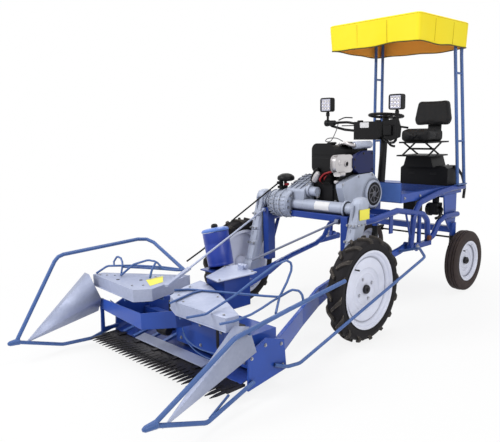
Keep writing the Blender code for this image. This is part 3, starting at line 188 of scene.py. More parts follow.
def coat_group():
    """Paint or skin: cloudy tone, dust on upper faces, worn rounded edges, a fine relief and painted shade
    that darkens crevices where ambient occlusion finds nearby surfaces.
    """
    group, t, given, out = new_group(
        "coat", [("Colour", COLOUR, WHITE), ("Worn Colour", COLOUR, WHITE), ("Dust Colour", COLOUR, WHITE),
                 ("Tone", FLOAT, 0.1), ("Wear", FLOAT, 0.3), ("Dust", FLOAT, 0.1),
                 ("Patch Scale", FLOAT, 6.0), ("Grain Scale", FLOAT, 120.0), ("Roughness", FLOAT, 0.4),
                 ("Roughness Range", FLOAT, 0.1), ("Relief", FLOAT, 0.1), ("Edge Radius", FLOAT, 0.004),
                 ("Crevice Shade", FLOAT, 0.5)],
        [("Colour", COLOUR), ("Roughness", FLOAT), ("Normal", VECTOR)])
    where = t.add("ShaderNodeTexCoord").outputs["Object"]
    take = given.outputs
    patches = t.noise(where, take["Patch Scale"], 4.0)
    grain = t.noise(where, take["Grain Scale"], 2.0)
    bevel = t.add("ShaderNodeBevel", samples=6)
    t.feed(bevel.inputs["Radius"], take["Edge Radius"])
    face = t.add("ShaderNodeNewGeometry").outputs["Normal"]
    turn = t.maths("SUBTRACT", 1.0, t.vector("DOT_PRODUCT", bevel.outputs[0], face))
    edge = t.maths("MULTIPLY", t.span(turn, 0.02, 0.16), t.span(t.noise(where, 46.0, 3.0), 0.42, 0.62))
    worn = t.maths("MULTIPLY", edge, take["Wear"], clamp=True)
    shade = t.maths("ADD", t.maths("MULTIPLY", t.maths("SUBTRACT", patches, 0.5),
                                   t.maths("MULTIPLY", take["Tone"], 4.0)), 1.0)
    toned = t.mix(1.0, take["Colour"], shade, "MULTIPLY")
    upward = t.span(t.vector("DOT_PRODUCT", face, (0.0, 0.0, 1.0)), 0.15, 1.0)
    settled = t.maths("MULTIPLY", t.maths("MULTIPLY", upward, t.span(patches, 0.38, 0.68)), take["Dust"],
                      clamp=True)
    dusted = t.mix(settled, toned, take["Dust Colour"])
    rubbed = t.mix(worn, dusted, take["Worn Colour"])
    # painted shade: the colour is pulled towards near-black in crevices and hollows, by ambient occlusion
    shade_occlusion = t.add("ShaderNodeAmbientOcclusion", samples=6)
    shade_occlusion.inputs["Distance"].default_value = 0.035
    deep = t.maths("MULTIPLY", t.span(shade_occlusion.outputs["AO"], 0.30, 0.92, 1.0, 0.0), take["Crevice Shade"])
    t.link(t.mix(deep, rubbed, t.mix(1.0, rubbed, (0.10, 0.10, 0.11, 1.0), "MULTIPLY")), out.inputs["Colour"])
    rough = t.maths("ADD", take["Roughness"], t.maths("MULTIPLY", t.maths("SUBTRACT", patches, 0.5),
                                                      take["Roughness Range"]))
    t.link(t.maths("ADD", rough, t.maths("MULTIPLY", settled, 0.3), clamp=True), out.inputs["Roughness"])
    t.link(t.bump(grain, take["Relief"], 0.002, bevel.outputs[0]), out.inputs["Normal"])
    return group


def weave_group():
    """Coated cloth: crossed threads along the sheet's own two directions, soft folds and a faded tone."""
    group, t, given, out = new_group(
        "weave", [("Colour", COLOUR, WHITE), ("Faded Colour", COLOUR, WHITE), ("Threads", FLOAT, 900.0),
                  ("Thread Relief", FLOAT, 0.2), ("Fold Relief", FLOAT, 0.2)],
        [("Colour", COLOUR), ("Roughness", FLOAT), ("Normal", VECTOR)])
    take = given.outputs
    flat = t.add("ShaderNodeTexCoord").outputs["UV"]
    parts = t.add("ShaderNodeSeparateXYZ")
    t.link(flat, parts.inputs[0])
    one = t.maths("SINE", t.maths("MULTIPLY", parts.outputs[0], take["Threads"]))
    two = t.maths("SINE", t.maths("MULTIPLY", parts.outputs[1], take["Threads"]))
    threads = t.span(t.maths("MULTIPLY", one, two), -1.0, 1.0)
    where = t.add("ShaderNodeTexCoord").outputs["Object"]
    folds = t.noise(where, 5.5, 3.0, 0.45)
    patches = t.noise(where, 2.4, 4.0)
    faded = t.mix(t.span(patches, 0.35, 0.75, 0.0, 0.6), take["Colour"], take["Faded Colour"])
    t.link(t.mix(t.maths("MULTIPLY", threads, 0.10), faded, take["Faded Colour"]), out.inputs["Colour"])
    t.link(t.span(patches, 0.2, 0.8, 0.50, 0.66), out.inputs["Roughness"])
    soft = t.bump(folds, take["Fold Relief"], 0.012)
    t.link(t.bump(threads, take["Thread Relief"], 0.0006, soft), out.inputs["Normal"])
    return group


def hide_group():
    """Pressed vinyl: small cells with raised middles, and a slightly shinier worn patch pattern."""
    group, t, given, out = new_group(
        "hide", [("Colour", COLOUR, WHITE), ("Rubbed Colour", COLOUR, WHITE), ("Cells", FLOAT, 260.0),
                 ("Relief", FLOAT, 0.25)],
        [("Colour", COLOUR), ("Roughness", FLOAT), ("Normal", VECTOR)])
    take = given.outputs
    where = t.add("ShaderNodeTexCoord").outputs["Object"]
    cells = t.add("ShaderNodeTexVoronoi")
    t.link(where, cells.inputs["Vector"])
    t.feed(cells.inputs["Scale"], take["Cells"])
    patches = t.noise(where, 9.0, 3.0)
    t.link(t.mix(t.span(patches, 0.4, 0.75, 0.0, 0.5), take["Colour"], take["Rubbed Colour"]),
           out.inputs["Colour"])
    t.link(t.span(patches, 0.3, 0.7, 0.42, 0.60), out.inputs["Roughness"])
    t.link(t.bump(cells.outputs["Distance"], take["Relief"], 0.0008), out.inputs["Normal"])
    return group


def spangle_group():
    """Zinc sheet: flat crystals of slightly different tone, with a fine noise relief and dull stains."""
    group, t, given, out = new_group(
        "spangle", [("Colour", COLOUR, WHITE), ("Dull Colour", COLOUR, WHITE), ("Crystals", FLOAT, 60.0),
                    ("Edge Radius", FLOAT, 0.003)],
        [("Colour", COLOUR), ("Roughness", FLOAT), ("Normal", VECTOR)])
    take = given.outputs
    where = t.add("ShaderNodeTexCoord").outputs["Object"]
    cells = t.add("ShaderNodeTexVoronoi")
    t.link(where, cells.inputs["Vector"])
    t.feed(cells.inputs["Scale"], take["Crystals"])
    tone = t.add("ShaderNodeSeparateColor")
    t.link(cells.outputs["Color"], tone.inputs[0])
    patches = t.noise(where, 4.5, 4.0)
    share = t.maths("ADD", t.maths("MULTIPLY", tone.outputs[0], 0.22), t.span(patches, 0.35, 0.75, 0.0, 0.6),
                    clamp=True)
    t.link(t.mix(share, take["Colour"], take["Dull Colour"]), out.inputs["Colour"])
    t.link(t.maths("ADD", t.maths("MULTIPLY", tone.outputs[1], 0.10), t.span(patches, 0.3, 0.7, 0.34, 0.50)),
           out.inputs["Roughness"])
    bevel = t.add("ShaderNodeBevel", samples=6)
    t.feed(bevel.inputs["Radius"], take["Edge Radius"])
    t.link(t.bump(t.noise(where, 30.0, 2.0), 0.10, 0.003, bevel.outputs[0]), out.inputs["Normal"])
    return group


COAT, WEAVE, HIDE, SPANGLE = coat_group(), weave_group(), hide_group(), spangle_group()
DIRT = (0.165, 0.130, 0.095, 1.0)


def finish_with(name, group, values, shader):
    """A material with colour, roughness and normal from a group; the shader's own sockets hold the rest."""
    material = bpy.data.materials.new(name)
    material.use_nodes = True
    t = Tree(material.node_tree)
    surface = material.node_tree.nodes["Principled BSDF"]
    made = t.add("ShaderNodeGroup", node_tree=group)
    for key, value in values.items():
        made.inputs[key].default_value = value
    t.link(made.outputs["Colour"], surface.inputs["Base Color"])
    t.link(made.outputs["Roughness"], surface.inputs["Roughness"])
    t.link(made.outputs["Normal"], surface.inputs["Normal"])
    for key, value in shader.items():
        surface.inputs[key].default_value = value
    return material


def coat(name, colour, worn, roughness, metal=0.0, tone=0.10, wear=0.35, dust=0.15, patch=6.0, grain=140.0,
         relief=0.06, edge=0.004, gloss=0.0, dirt=DIRT, spread=0.12, shine=0.30, crevice=0.6):
    """A finish from the coat group; gloss is its clear coat's weight, shine its specular level; the crevice
    value sets how much painted shade darkens its hollows.
    """
    values = {"Colour": (*colour, 1), "Worn Colour": (*worn, 1), "Dust Colour": dirt, "Tone": tone,
              "Wear": wear, "Dust": dust, "Patch Scale": patch, "Grain Scale": grain, "Roughness": roughness,
              "Roughness Range": spread, "Relief": relief, "Edge Radius": edge, "Crevice Shade": crevice}
    return finish_with(name, COAT, values, {"Metallic": metal, "Coat Weight": gloss * 0.4,
                                            "Specular IOR Level": shine})


def rubber(name, colour, worn, roughness, dirt, tone=0.20, patch=14.0, **rest):
    """A coat with fine grain, strong relief and little shine."""
    return coat(name, colour, worn, roughness, tone=tone, patch=patch, grain=500.0, relief=0.20, shine=0.15,
                dirt=(*dirt, 1), **rest)


def cloth(name, colour, faded, shine):
    """A sheet's finish, whose threads follow its own UV map."""
    return finish_with(name, WEAVE, {"Colour": (*colour, 1), "Faded Colour": (*faded, 1), "Threads": 2400.0,
                                     "Thread Relief": 0.18, "Fold Relief": 0.35},
                       {"Specular IOR Level": shine})


finishes = {
    "blue_paint": coat("frame blue", (0.021, 0.072, 0.370), (0.14, 0.22, 0.48), 0.34, dust=0.10, gloss=0.25,
                       edge=0.006),
    "dark_blue_paint": coat("deep blue", (0.015, 0.050, 0.280), (0.10, 0.17, 0.42), 0.36, dust=0.10,
                            gloss=0.25, edge=0.009),
    "steel_blue_paint": coat("guard tube blue", (0.055, 0.120, 0.330), (0.24, 0.32, 0.50), 0.38, wear=0.5,
                             edge=0.006, gloss=0.15),
    "can_blue": coat("can blue", (0.022, 0.052, 0.340), (0.20, 0.30, 0.62), 0.32, gloss=0.3, edge=0.012),
    "galvanised_sheet": finish_with("zinc sheet", SPANGLE,
                                    {"Colour": (0.43, 0.47, 0.62, 1), "Dull Colour": (0.29, 0.33, 0.47, 1),
                                     "Crystals": 70.0, "Edge Radius": 0.003}, {"Metallic": 0.35}),
    # strong crevice value: painted shade darkens the casting's hollows and the gaps between its ribs
    "grey_casting": coat("painted casting", (0.40, 0.44, 0.55), (0.62, 0.66, 0.74), 0.46, metal=0.15,
                         tone=0.18, wear=0.8, crevice=0.85, dust=0.12, grain=260.0, relief=0.45, edge=0.007),
    "rim_grey": coat("rim paint", (0.72, 0.745, 0.87), (0.42, 0.42, 0.46), 0.38, tone=0.06, wear=0.4,
                     dust=0.10, patch=9.0, gloss=0.2),
    "black_paint": coat("black paint", (0.009, 0.009, 0.010), (0.07, 0.07, 0.07), 0.42, tone=0.16, dust=0.04,
                        shine=0.14, dirt=(0.10, 0.09, 0.075, 1)),
    "cutter_steel": coat("dark blade steel", (0.020, 0.019, 0.023), (0.16, 0.15, 0.16), 0.46, metal=0.4,
                         tone=0.20, wear=0.55, dust=0.18, dirt=(0.075, 0.060, 0.048, 1), edge=0.0015),
    "silver_metal": coat("bare metal", (0.55, 0.53, 0.54), (0.78, 0.77, 0.78), 0.34, metal=0.75, tone=0.12,
                         wear=0.5, dust=0.12, edge=0.004),
    "seat_vinyl": finish_with("seat vinyl", HIDE,
                              {"Colour": (0.010, 0.010, 0.011, 1), "Rubbed Colour": (0.030, 0.030, 0.031, 1),
                               "Cells": 300.0, "Relief": 0.3}, {"Specular IOR Level": 0.16}),
    "tyre_rubber": rubber("tyre rubber", (0.013, 0.012, 0.014), (0.16, 0.14, 0.12), 0.66,
                          (0.090, 0.070, 0.058), wear=0.45, dust=0.10, edge=0.004),
    "rear_tyre_rubber": rubber("rear tyre rubber", (0.045, 0.034, 0.033), (0.22, 0.16, 0.14), 0.70,
                               (0.13, 0.095, 0.080), wear=0.5, dust=0.30, edge=0.003),
    "canopy_cloth": cloth("canopy cloth", (0.97, 0.77, 0.012), (0.97, 0.84, 0.05), 0.25),
    "lamp_lens": coat("lamp lens", (0.70, 0.71, 0.86), (0.80, 0.80, 0.90), 0.12, tone=0.05, wear=0.0,
                      dust=0.05, gloss=0.6, edge=0.002),
    # finishes of pieces and sides that the record has no slot for
    # strong crevice value: painted shade deepens the gaps between the tyre's bars
    "lug_rubber": rubber("lug rubber", (0.046, 0.041, 0.038), (0.42, 0.36, 0.31), 0.72, (0.12, 0.10, 0.085),
                         tone=0.30, wear=0.9, dust=0.30, patch=16.0, edge=0.006, crevice=0.9),
    # the underside's deeper orange is painted shade: the same yellow cloth as it looks shaded under the sheet
    "cloth_underside_shade": cloth("canopy cloth underside shade", (0.98, 0.47, 0.080), (0.98, 0.56, 0.12), 0.2),
    "stud_pale": coat("pale stud", (0.62, 0.63, 0.70), (0.8, 0.8, 0.85), 0.35, metal=0.3, wear=0.5),
    "fan_grey": coat("fan grey", (0.13, 0.13, 0.15), (0.4, 0.4, 0.42), 0.5, metal=0.2, wear=0.8, tone=0.3),
    # darker yellow for the seams: painted shade along the cloth's folds
    "seam_shade_yellow": coat("seam shade yellow", (0.62, 0.42, 0.01), (0.8, 0.6, 0.05), 0.6, wear=0.0, dust=0.0,
                        shine=0.2),
    "rod_grey": coat("rod grey", (0.17, 0.19, 0.27), (0.4, 0.42, 0.5), 0.40, metal=0.3, wear=0.5),
    "cowl_navy": coat("cowl navy", (0.008, 0.014, 0.078), (0.06, 0.08, 0.22), 0.34, dust=0.02, shine=0.18),
    "deck_blue": coat("panel blue", (0.110, 0.220, 0.620), (0.25, 0.33, 0.60), 0.30, gloss=0.3, dust=0.10),
    "hose_red": coat("red hose", (0.30, 0.015, 0.020), (0.4, 0.06, 0.06), 0.5, wear=0.2),
    "cable_grey": coat("cable sheath", (0.10, 0.10, 0.11), (0.2, 0.2, 0.2), 0.5, wear=0.2),
    "plate_white": coat("blank plate", (0.78, 0.78, 0.80), (0.5, 0.5, 0.5), 0.35, tone=0.03, wear=0.2,
                        dust=0.05),
    "sticker_yellow": coat("blank sticker", (0.95, 0.87, 0.10), (0.8, 0.78, 0.5), 0.40, tone=0.05, wear=0.3,
                           dust=0.10),
    "bolt_zinc": coat("zinc bolt", (0.42, 0.43, 0.47), (0.7, 0.7, 0.74), 0.36, metal=0.7, wear=0.4, dust=0.2,
                      edge=0.001),
    "bolt_dark": coat("dark bolt", (0.030, 0.030, 0.034), (0.2, 0.2, 0.2), 0.45, metal=0.4, wear=0.4,
                      edge=0.001),
    # near-black finish for holes and recesses: painted shade where there is only an opening
    "hole_shade": coat("painted hole shade", (0.006, 0.006, 0.007), (0.02, 0.02, 0.02), 0.7, wear=0.0, dust=0.0),
    "canister_grey": coat("canister paint", (0.42, 0.46, 0.58), (0.6, 0.6, 0.65), 0.36, wear=0.3),
    "knob_red": coat("red knob", (0.45, 0.012, 0.030), (0.5, 0.1, 0.1), 0.35, wear=0.1, gloss=0.3),
    "rusty": coat("rust brown", (0.13, 0.045, 0.025), (0.2, 0.1, 0.06), 0.8, tone=0.25, wear=0.2, dust=0.2),
    "piping": coat("hem piping", (0.10, 0.075, 0.02), (0.2, 0.16, 0.06), 0.7, wear=0.0),
}

# CAD nodes whose finish in the photo differs from their slot's
DRESSED = {"knife": "cutter_steel", "engine_cowl": "cowl_navy", "trip_rod": "rod_grey"}
slot_of = {row["node"]: row["material_slot"] for row in frame["record"]["subparts"]}
for node_name, node in cad_nodes.items():
    node.data.materials.clear()
    node.data.materials.append(finishes[DRESSED.get(node_name, slot_of[node_name])])

# Shapes: each is (points, [faces with equal corner counts, ...])


def strip_faces(rows, columns, round_rows=False, round_columns=False):
    """Four-cornered faces of a grid of points, whose rows or columns may close on themselves."""
    i = np.arange(rows if round_rows else rows - 1)[:, None]
    j = np.arange(columns if round_columns else columns - 1)[None, :]
    ni, nj = (i + 1) % rows, (j + 1) % columns
    corners = np.stack(np.broadcast_arrays(i * columns + j, i * columns + nj, ni * columns + nj,
                                           ni * columns + j), -1)
    return corners.reshape(-1, 4)


def volume(points, faces):
    """Signed volume: a sixth of the sum of each fan triangle's triple product."""
    total = 0.0
    for group in faces:
        a = points[group[:, 0]]
        for k in range(1, group.shape[1] - 1):
            b, c = points[group[:, k]], points[group[:, k + 1]]
            total += float(np.einsum("ij,ij->i", a, np.cross(b, c)).sum())
    return total


def facing_out(shape):
    """Every face is turned round if the signed volume is negative."""
    points, faces = shape
    faces = [np.atleast_2d(f) for f in faces]
    middle = points.mean(0)
    if volume(points - middle, faces) < 0:
        faces = [f[:, ::-1] for f in faces]
    return points, faces


def loft(rings, capped=True):
    """Rings of equal length, shape (rings, corners, 3), skinned one to the next and closed at both ends."""
    rings = np.asarray(rings, float)
    count, corners = rings.shape[:2]
    faces = [strip_faces(count, corners, round_columns=True)]
    if capped:
        faces.append(np.arange(corners)[None, :])
        faces.append((count - 1) * corners + np.arange(corners)[None, ::-1])
    return facing_out((rings.reshape(-1, 3), faces))


def aligned(points, axis):
    """Points made about the third axis, carried to stand along axis 0, 1 or 2 by a cyclic swap of columns."""
    return np.roll(points, axis + 1 - 3, axis=-1) if axis != 2 else points


def revolve(profile, axis, centre, sides=64, closed=False):
    """profile: (along, radius). A point at angle a lies at radius * (cos a, sin a) about the axis."""
    profile = np.asarray(profile, float)
    a = np.linspace(0, 2 * math.pi, sides, endpoint=False)
    ring = np.stack([np.cos(a), np.sin(a)], -1)
    radius = np.maximum(profile[:, 1], 1e-4)
    flat = ring[None] * radius[:, None, None]
    points = np.concatenate([flat, np.broadcast_to(profile[:, None, :1], flat.shape[:2] + (1,))], -1)
    points = aligned(points, axis)
    rows = len(profile)
    faces = [strip_faces(rows, sides, round_rows=closed, round_columns=True)]
    if not closed:
        faces += [np.arange(sides)[None, :], (rows - 1) * sides + np.arange(sides)[None, ::-1]]
    return facing_out((points.reshape(-1, 3) + np.asarray(centre, float), faces))


def smooth_line(points, per=8):
    """Catmull-Rom curve: between two points the cubic uses their neighbours' chords as tangents."""
    p = np.asarray(points, float)
    p = np.concatenate([2 * p[:1] - p[1:2], p, 2 * p[-1:] - p[-2:-1]])
    t = np.linspace(0, 1, per, endpoint=False)[None, :, None]
    a, b, c, d = (p[i:len(p) - 3 + i][:, None] for i in range(4))
    curve = 0.5 * (2 * b + (c - a) * t + (2 * a - 5 * b + 4 * c - d) * t ** 2
                   + (3 * b - a - 3 * c + d) * t ** 3)
    return np.concatenate([curve.reshape(-1, p.shape[1]), p[-2:-1]])


def way_along(line):
    """The way gone at each point of a line: the running sum of its steps' lengths."""
    return np.concatenate([[0], np.cumsum(np.linalg.norm(np.diff(line, axis=0), axis=1))])


def unit(vectors):
    """Each row divided by its length."""
    return vectors / np.linalg.norm(vectors, axis=1, keepdims=True)


def pipe(line, radius, sides=14):
    """A circle carried along a line; its two axes are square to the tangent and to a fixed side direction."""
    line = np.asarray(line, float)
    tangent = unit(np.gradient(line, axis=0))
    spread = np.abs(tangent).mean(0)
    fixed = np.eye(3)[int(np.argmin(spread))]
    one = unit(np.cross(tangent, fixed))
    two = np.cross(tangent, one)
    a = np.linspace(0, 2 * math.pi, sides, endpoint=False)[None, :, None]
    size = np.broadcast_to(np.asarray(radius, float), (len(line),))[:, None, None]
    return loft(line[:, None] + size * (np.cos(a) * one[:, None] + np.sin(a) * two[:, None]))


def drum(low, high, radius, axis, centre, sides):
    """A plain round block from low to high along an axis."""
    return revolve([(low, 0.001), (low, radius), (high, radius), (high, 0.001)], axis, centre, sides)


def rod(points, radius, sides=10, per=8):
    """A pipe along the smooth curve through a few points."""
    return pipe(smooth_line(points, per), radius, sides)


def slab(low, high):
    """A box from its lowest to its highest corner."""
    low, high = np.asarray(low, float), np.asarray(high, float)
    pick = np.array([[0, 0, 0], [1, 0, 0], [1, 1, 0], [0, 1, 0], [0, 0, 1], [1, 0, 1], [1, 1, 1], [0, 1, 1]])
    points = low + (high - low) * pick
    faces = [[0, 3, 2, 1], [4, 5, 6, 7], [0, 1, 5, 4], [1, 2, 6, 5], [2, 3, 7, 6], [3, 0, 4, 7]]
    return points, [np.array(faces)]


def slice_of(outline, axis, low, high):
    """A flat outline pushed along an axis; the outline's pair follows the axis in cyclic order."""
    flat = np.asarray(outline, float)
    rings = np.stack([np.concatenate([flat, np.full((len(flat), 1), level)], -1) for level in (low, high)])
    return loft(aligned(rings, axis))


def rounded(width, height, radius, steps=6):
    """Outline of a rectangle round the middle, with quarter circles at its corners."""
    a = np.linspace(0, math.pi / 2, steps)
    corner = np.stack([np.cos(a), np.sin(a)], -1) * radius
    spots = [(1, 1, 0), (-1, 1, 1), (-1, -1, 2), (1, -1, 3)]
    made = []
    for sx, sy, turn in spots:
        c, s = round(math.cos(turn * math.pi / 2)), round(math.sin(turn * math.pi / 2))
        turned = corner @ np.array([[c, s], [-s, c]])
        made.append(turned + np.array([sx * (width / 2 - radius), sy * (height / 2 - radius)]))
    return np.concatenate(made)


def frame_for(direction):
    """Two sides square to a direction, and the direction itself, each of length one."""
    d = np.asarray(direction, float)
    d = d / np.linalg.norm(d)
    side = np.cross(d, (0, 0, 1) if abs(d[2]) < 0.9 else (1, 0, 0))
    side /= np.linalg.norm(side)
    return side, np.cross(d, side), d


def bolts(places, direction, size=0.008, height=0.006, washer=True):
    """Hexagon heads: six-cornered rings stand along one direction at every place, over a round washer."""
    side, up, d = frame_for(direction)
    basis = np.stack([side, up, d])
    shapes = []
    hexagon = [(size, 0.0), (size, height * 0.75), (size * 0.84, height)]
    rings = [(6, hexagon, 0.0015 if washer else 0.0)]
    if washer:
        rings.append((12, [(size * 1.45, 0.0), (size * 1.45, 0.0015)], 0.0))
    places = np.asarray(places, float).reshape(-1, 3)
    for sides, profile, lift in rings:
        a = np.linspace(0, 2 * math.pi, sides, endpoint=False)
        radius = np.array([r for r, _ in profile])[:, None]
        level = np.array([z + lift for _, z in profile])[:, None]
        local = np.stack([radius * np.cos(a), radius * np.sin(a),
                          np.broadcast_to(level, (len(profile), sides))], -1)
        one = loft(local @ basis)
        count = len(one[0])
        points = (one[0][None] + places[:, None]).reshape(-1, 3)
        step = np.arange(len(places))[:, None, None] * count
        faces = [(f[None] + step).reshape(-1, f.shape[1]) for f in one[1]]
        shapes.append((points, faces))
    return joined(shapes)


def joined(shapes):
    """Several shapes as one; each one's corner numbers start after the points before it."""
    points, faces, start = [], [], 0
    for shape_points, shape_faces in shapes:
        points.append(shape_points)
        faces += [np.atleast_2d(f) + start for f in shape_faces]
        start += len(shape_points)
    return np.concatenate(points), faces


def around(centre, axis, radius, count, start=0.0):
    """Points evenly round a circle about an axis."""
    a = start + np.linspace(0, 2 * math.pi, count, endpoint=False)
    points = np.stack([radius * np.cos(a), radius * np.sin(a), np.zeros(count)], -1)
    return aligned(points, axis) + np.asarray(centre, float)


def piece(name, body, finish, shapes, stands_for=(), bevel=0.0, sharp=40, segments=2):
    """One mesh object from shapes, shaded smooth except over edges sharper than an angle."""
    points, faces = joined(shapes)
    points = points + np.array([0.0, AXLE_Y, 0.0])
    mesh = bpy.data.meshes.new(name)
    mesh.from_pydata(points.tolist(), [], [corner for f in faces for corner in f.tolist()])
    mesh.polygons.foreach_set("use_smooth", np.ones(len(mesh.polygons), bool))
    mesh.set_sharp_from_angle(angle=math.radians(sharp))
    mesh.materials.append(finishes[finish])
    made = bpy.data.objects.new(name, mesh)
    bpy.context.scene.collection.objects.link(made)
    if bevel:
        edge = made.modifiers.new("edge", "BEVEL")
        edge.width, edge.segments, edge.limit_method = bevel, segments, "ANGLE"
        edge.harden_normals = False
    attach(made, body)
    if stands_for:
        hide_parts(*stands_for)
    return made


# Wheels

FRONT_HUB = (0.58, 0.0, 0.345)
REAR_HUB = (0.49, 1.556, 0.251)
LUGS = 16
LUG_RISE = 0.016
LUG_SWEEP = 0.20


def tyre_wall(half, bead, top, crown):
    """Closed outline of a tyre: bulging walls that turn in at the bead, and a crowned tread between them."""
    wall = [(-half * 0.82, bead), (-half * 0.87, bead + 0.012), (-half * 0.97, bead + 0.030),
            (-half, bead + 0.050), (-half * 0.96, top - 0.026), (-half * 0.86, top - 0.010),
            (-half * 0.45, top - crown), (0.0, top)]
    return smooth_line(wall + [(-a, r) for a, r in reversed(wall[:-1])], 4)


def front_tyre(side):
    """Carcass of revolution with two rows of bars that sweep forward as they run out over the shoulder.

    A bar follows the carcass outline from its middle; its top lies off it along the outline's normal.
    """
    half, top = 0.0515, 0.3438 - LUG_RISE
    outline = tyre_wall(half, 0.2454, top, 0.0015)
    centre = np.array([side * FRONT_HUB[0], 0.0, FRONT_HUB[2]])
    label = LABEL[side]
    body, node = f"front_wheel_{label}", f"front_tyre_{label}"
    piece(f"tyre_front_{label}", body, "tyre_rubber",
          [revolve(outline * [side, 1], 0, centre, 120, closed=True)], (node,))
    path = outline[(outline[:, 0] >= 0) & (outline[:, 1] > 0.292)]
    path = path[np.argsort(path[:, 0] - path[:, 1])]
    reach = way_along(path)
    reach /= reach[-1]
    s = np.linspace(0, 1, 12)
    spot = np.stack([np.interp(s, reach, path[:, i]) for i in (0, 1)], -1)
    along = np.gradient(spot, axis=0)
    normal = np.stack([-along[:, 1], along[:, 0]], -1) / np.linalg.norm(along, axis=1, keepdims=True)
    rise = LUG_RISE * np.interp(s, [0.0, 0.55, 0.80, 1.0], [1.0, 0.96, 0.85, 0.05])
    half_width = np.interp(s, [0.0, 0.6, 1.0], [0.011, 0.014, 0.018])
    bars = []
    for row in (1, -1):
        start = 2 * math.pi * (np.arange(LUGS) + (0.5 if row > 0 else 0.0)) / LUGS
        upper, lower = spot + normal * rise[:, None], spot - normal * 0.004
        turn = start[:, None] + (LUG_SWEEP * 1.15 * s)[None]
        corners = []
        for place, share in ((lower, -1.35), (upper, -0.92), (upper, 0.92), (lower, 1.35)):
            angle = turn + share * half_width / 0.335
            x = np.broadcast_to(row * (place[:, 0] - 0.002), angle.shape)
            corners.append(np.stack([centre[0] + x, centre[1] + place[:, 1] * np.sin(angle),
                                     centre[2] + place[:, 1] * np.cos(angle)], -1))
        bars += [loft(bar) for bar in np.stack(corners, 2)]
    piece(f"tyre_front_bars_{label}", body, "lug_rubber", bars, (node,), bevel=0.0012, sharp=50, segments=1)


def rear_tyre(side):
    """Carcass of revolution whose tread carries four round grooves, cut as steps in the outline."""
    half, bead, top = 0.050, 0.1574, 0.251
    wall = smooth_line([(-half * 0.85, bead), (-half * 0.89, bead + 0.012), (-half, bead + 0.036),
                        (-half * 0.99, top - 0.034), (-half * 0.90, top - 0.012)], 5)
    grooves = []
    for low, high in ((-0.0370, -0.0325), (-0.0170, -0.0115)):
        edge = top - 0.002 - 0.004 * (abs(low) / half) ** 2
        grooves += [(low, edge), (low + 0.0006, edge - 0.009), (high - 0.0006, edge - 0.009),
                    (high, edge + 0.0008)]
    outline = np.concatenate([wall, grooves, [(0.0, top)]])
    outline = np.concatenate([outline, outline[:-1][::-1] * [-1, 1]])
    centre = (side * REAR_HUB[0], REAR_HUB[1], REAR_HUB[2])
    label = LABEL[side]
    piece(f"tyre_rear_{label}", f"rear_wheel_{label}", "rear_tyre_rubber",
          [revolve(outline * [side, 1], 0, centre, 96, closed=True)], (f"rear_tyre_{label}",), sharp=38)


def rim(side, hub, radius, half, hub_in, cap, dish, studs, name, body, node):
    """Pressed disc inside a rolled rim, with a dark axle end, studs and the valve."""
    lip = 0.0035
    front = [(dish, 0.001), (dish, radius * 0.40), (dish + 0.002, radius * 0.415), (dish, radius * 0.43),
             (dish, radius * 0.53), (dish + 0.002, radius * 0.55), (dish + 0.009, radius * 0.58),
             (dish + 0.009, radius * 0.83), (dish + 0.003, radius * 0.845), (dish + 0.003, radius * 0.86),
             (dish + 0.012, radius * 0.875), (half - 0.014, radius - 0.022), (half - 0.010, radius - 0.014),
             (half - 0.002, radius - 0.010), (half + lip, radius - 0.004)]
    back = [(half + lip, radius + 0.009), (half, radius + 0.009), (half - 0.001, radius),
            (-half + 0.001, radius), (-half, radius + 0.009), (-half - lip, radius + 0.009),
            (-half - lip, radius - 0.012), (dish - 0.002, radius - 0.020), (dish - 0.010, 0.048),
            (hub_in, 0.038), (hub_in, 0.001)]
    centre = np.array([side * hub[0], hub[1], hub[2]])
    outline = np.array(front + back)
    piece(name, body, "rim_grey", [revolve(outline * [side, 1], 0, centre, 96)], (node,), sharp=32)
    face = centre + np.array([side * dish, 0, 0])
    tip = [(dish - 0.001, 0.001), (dish - 0.001, 0.029), (cap - 0.004, 0.028), (cap, 0.024), (cap, 0.012),
           (cap + 0.008, 0.011), (cap + 0.010, 0.001)]
    stem = face + np.array([side * 0.012, -radius * 0.51, radius * 0.61])
    valve = [(-0.004, 0.0045), (0.018, 0.0045), (0.019, 0.0065), (0.030, 0.005)]
    piece(f"{name}_axle_end", body, "bolt_dark", [revolve(np.array(tip) * [side, 1], 0, centre, 28),
                                                  revolve(np.array(valve) * [side, 1], 0, stem, 12)])
    if studs:
        spots = around(face, 0, 0.072, studs, 0.42)
        piece(f"{name}_studs", body, "stud_pale", [bolts(spots, (side, 0, 0), 0.008, 0.007)])


def wheels():
    """Front and rear pairs; a pair's rims differ in size, dish and studs."""
    for side, label in LABEL.items():
        front_tyre(side)
        rear_tyre(side)
        rim(side, FRONT_HUB, 0.245, 0.0473, -0.0992, 0.032, 0.012, 4, f"rim_front_{label}",
            f"front_wheel_{label}", f"front_rim_{label}")
        rim(side, REAR_HUB, 0.157, 0.044, -0.058, 0.036, 0.010, 0, f"rim_rear_{label}", f"rear_wheel_{label}",
            f"rear_rim_{label}")


# Canopy

CLOTH_HALF = 0.414
CLOTH_FRONT, CLOTH_REAR = 0.888, 1.662
CLOTH_TOP = 2.182
VALANCE = 0.205
# The grid's row where the top turns into the valance
SHOULDER_ROW = 18


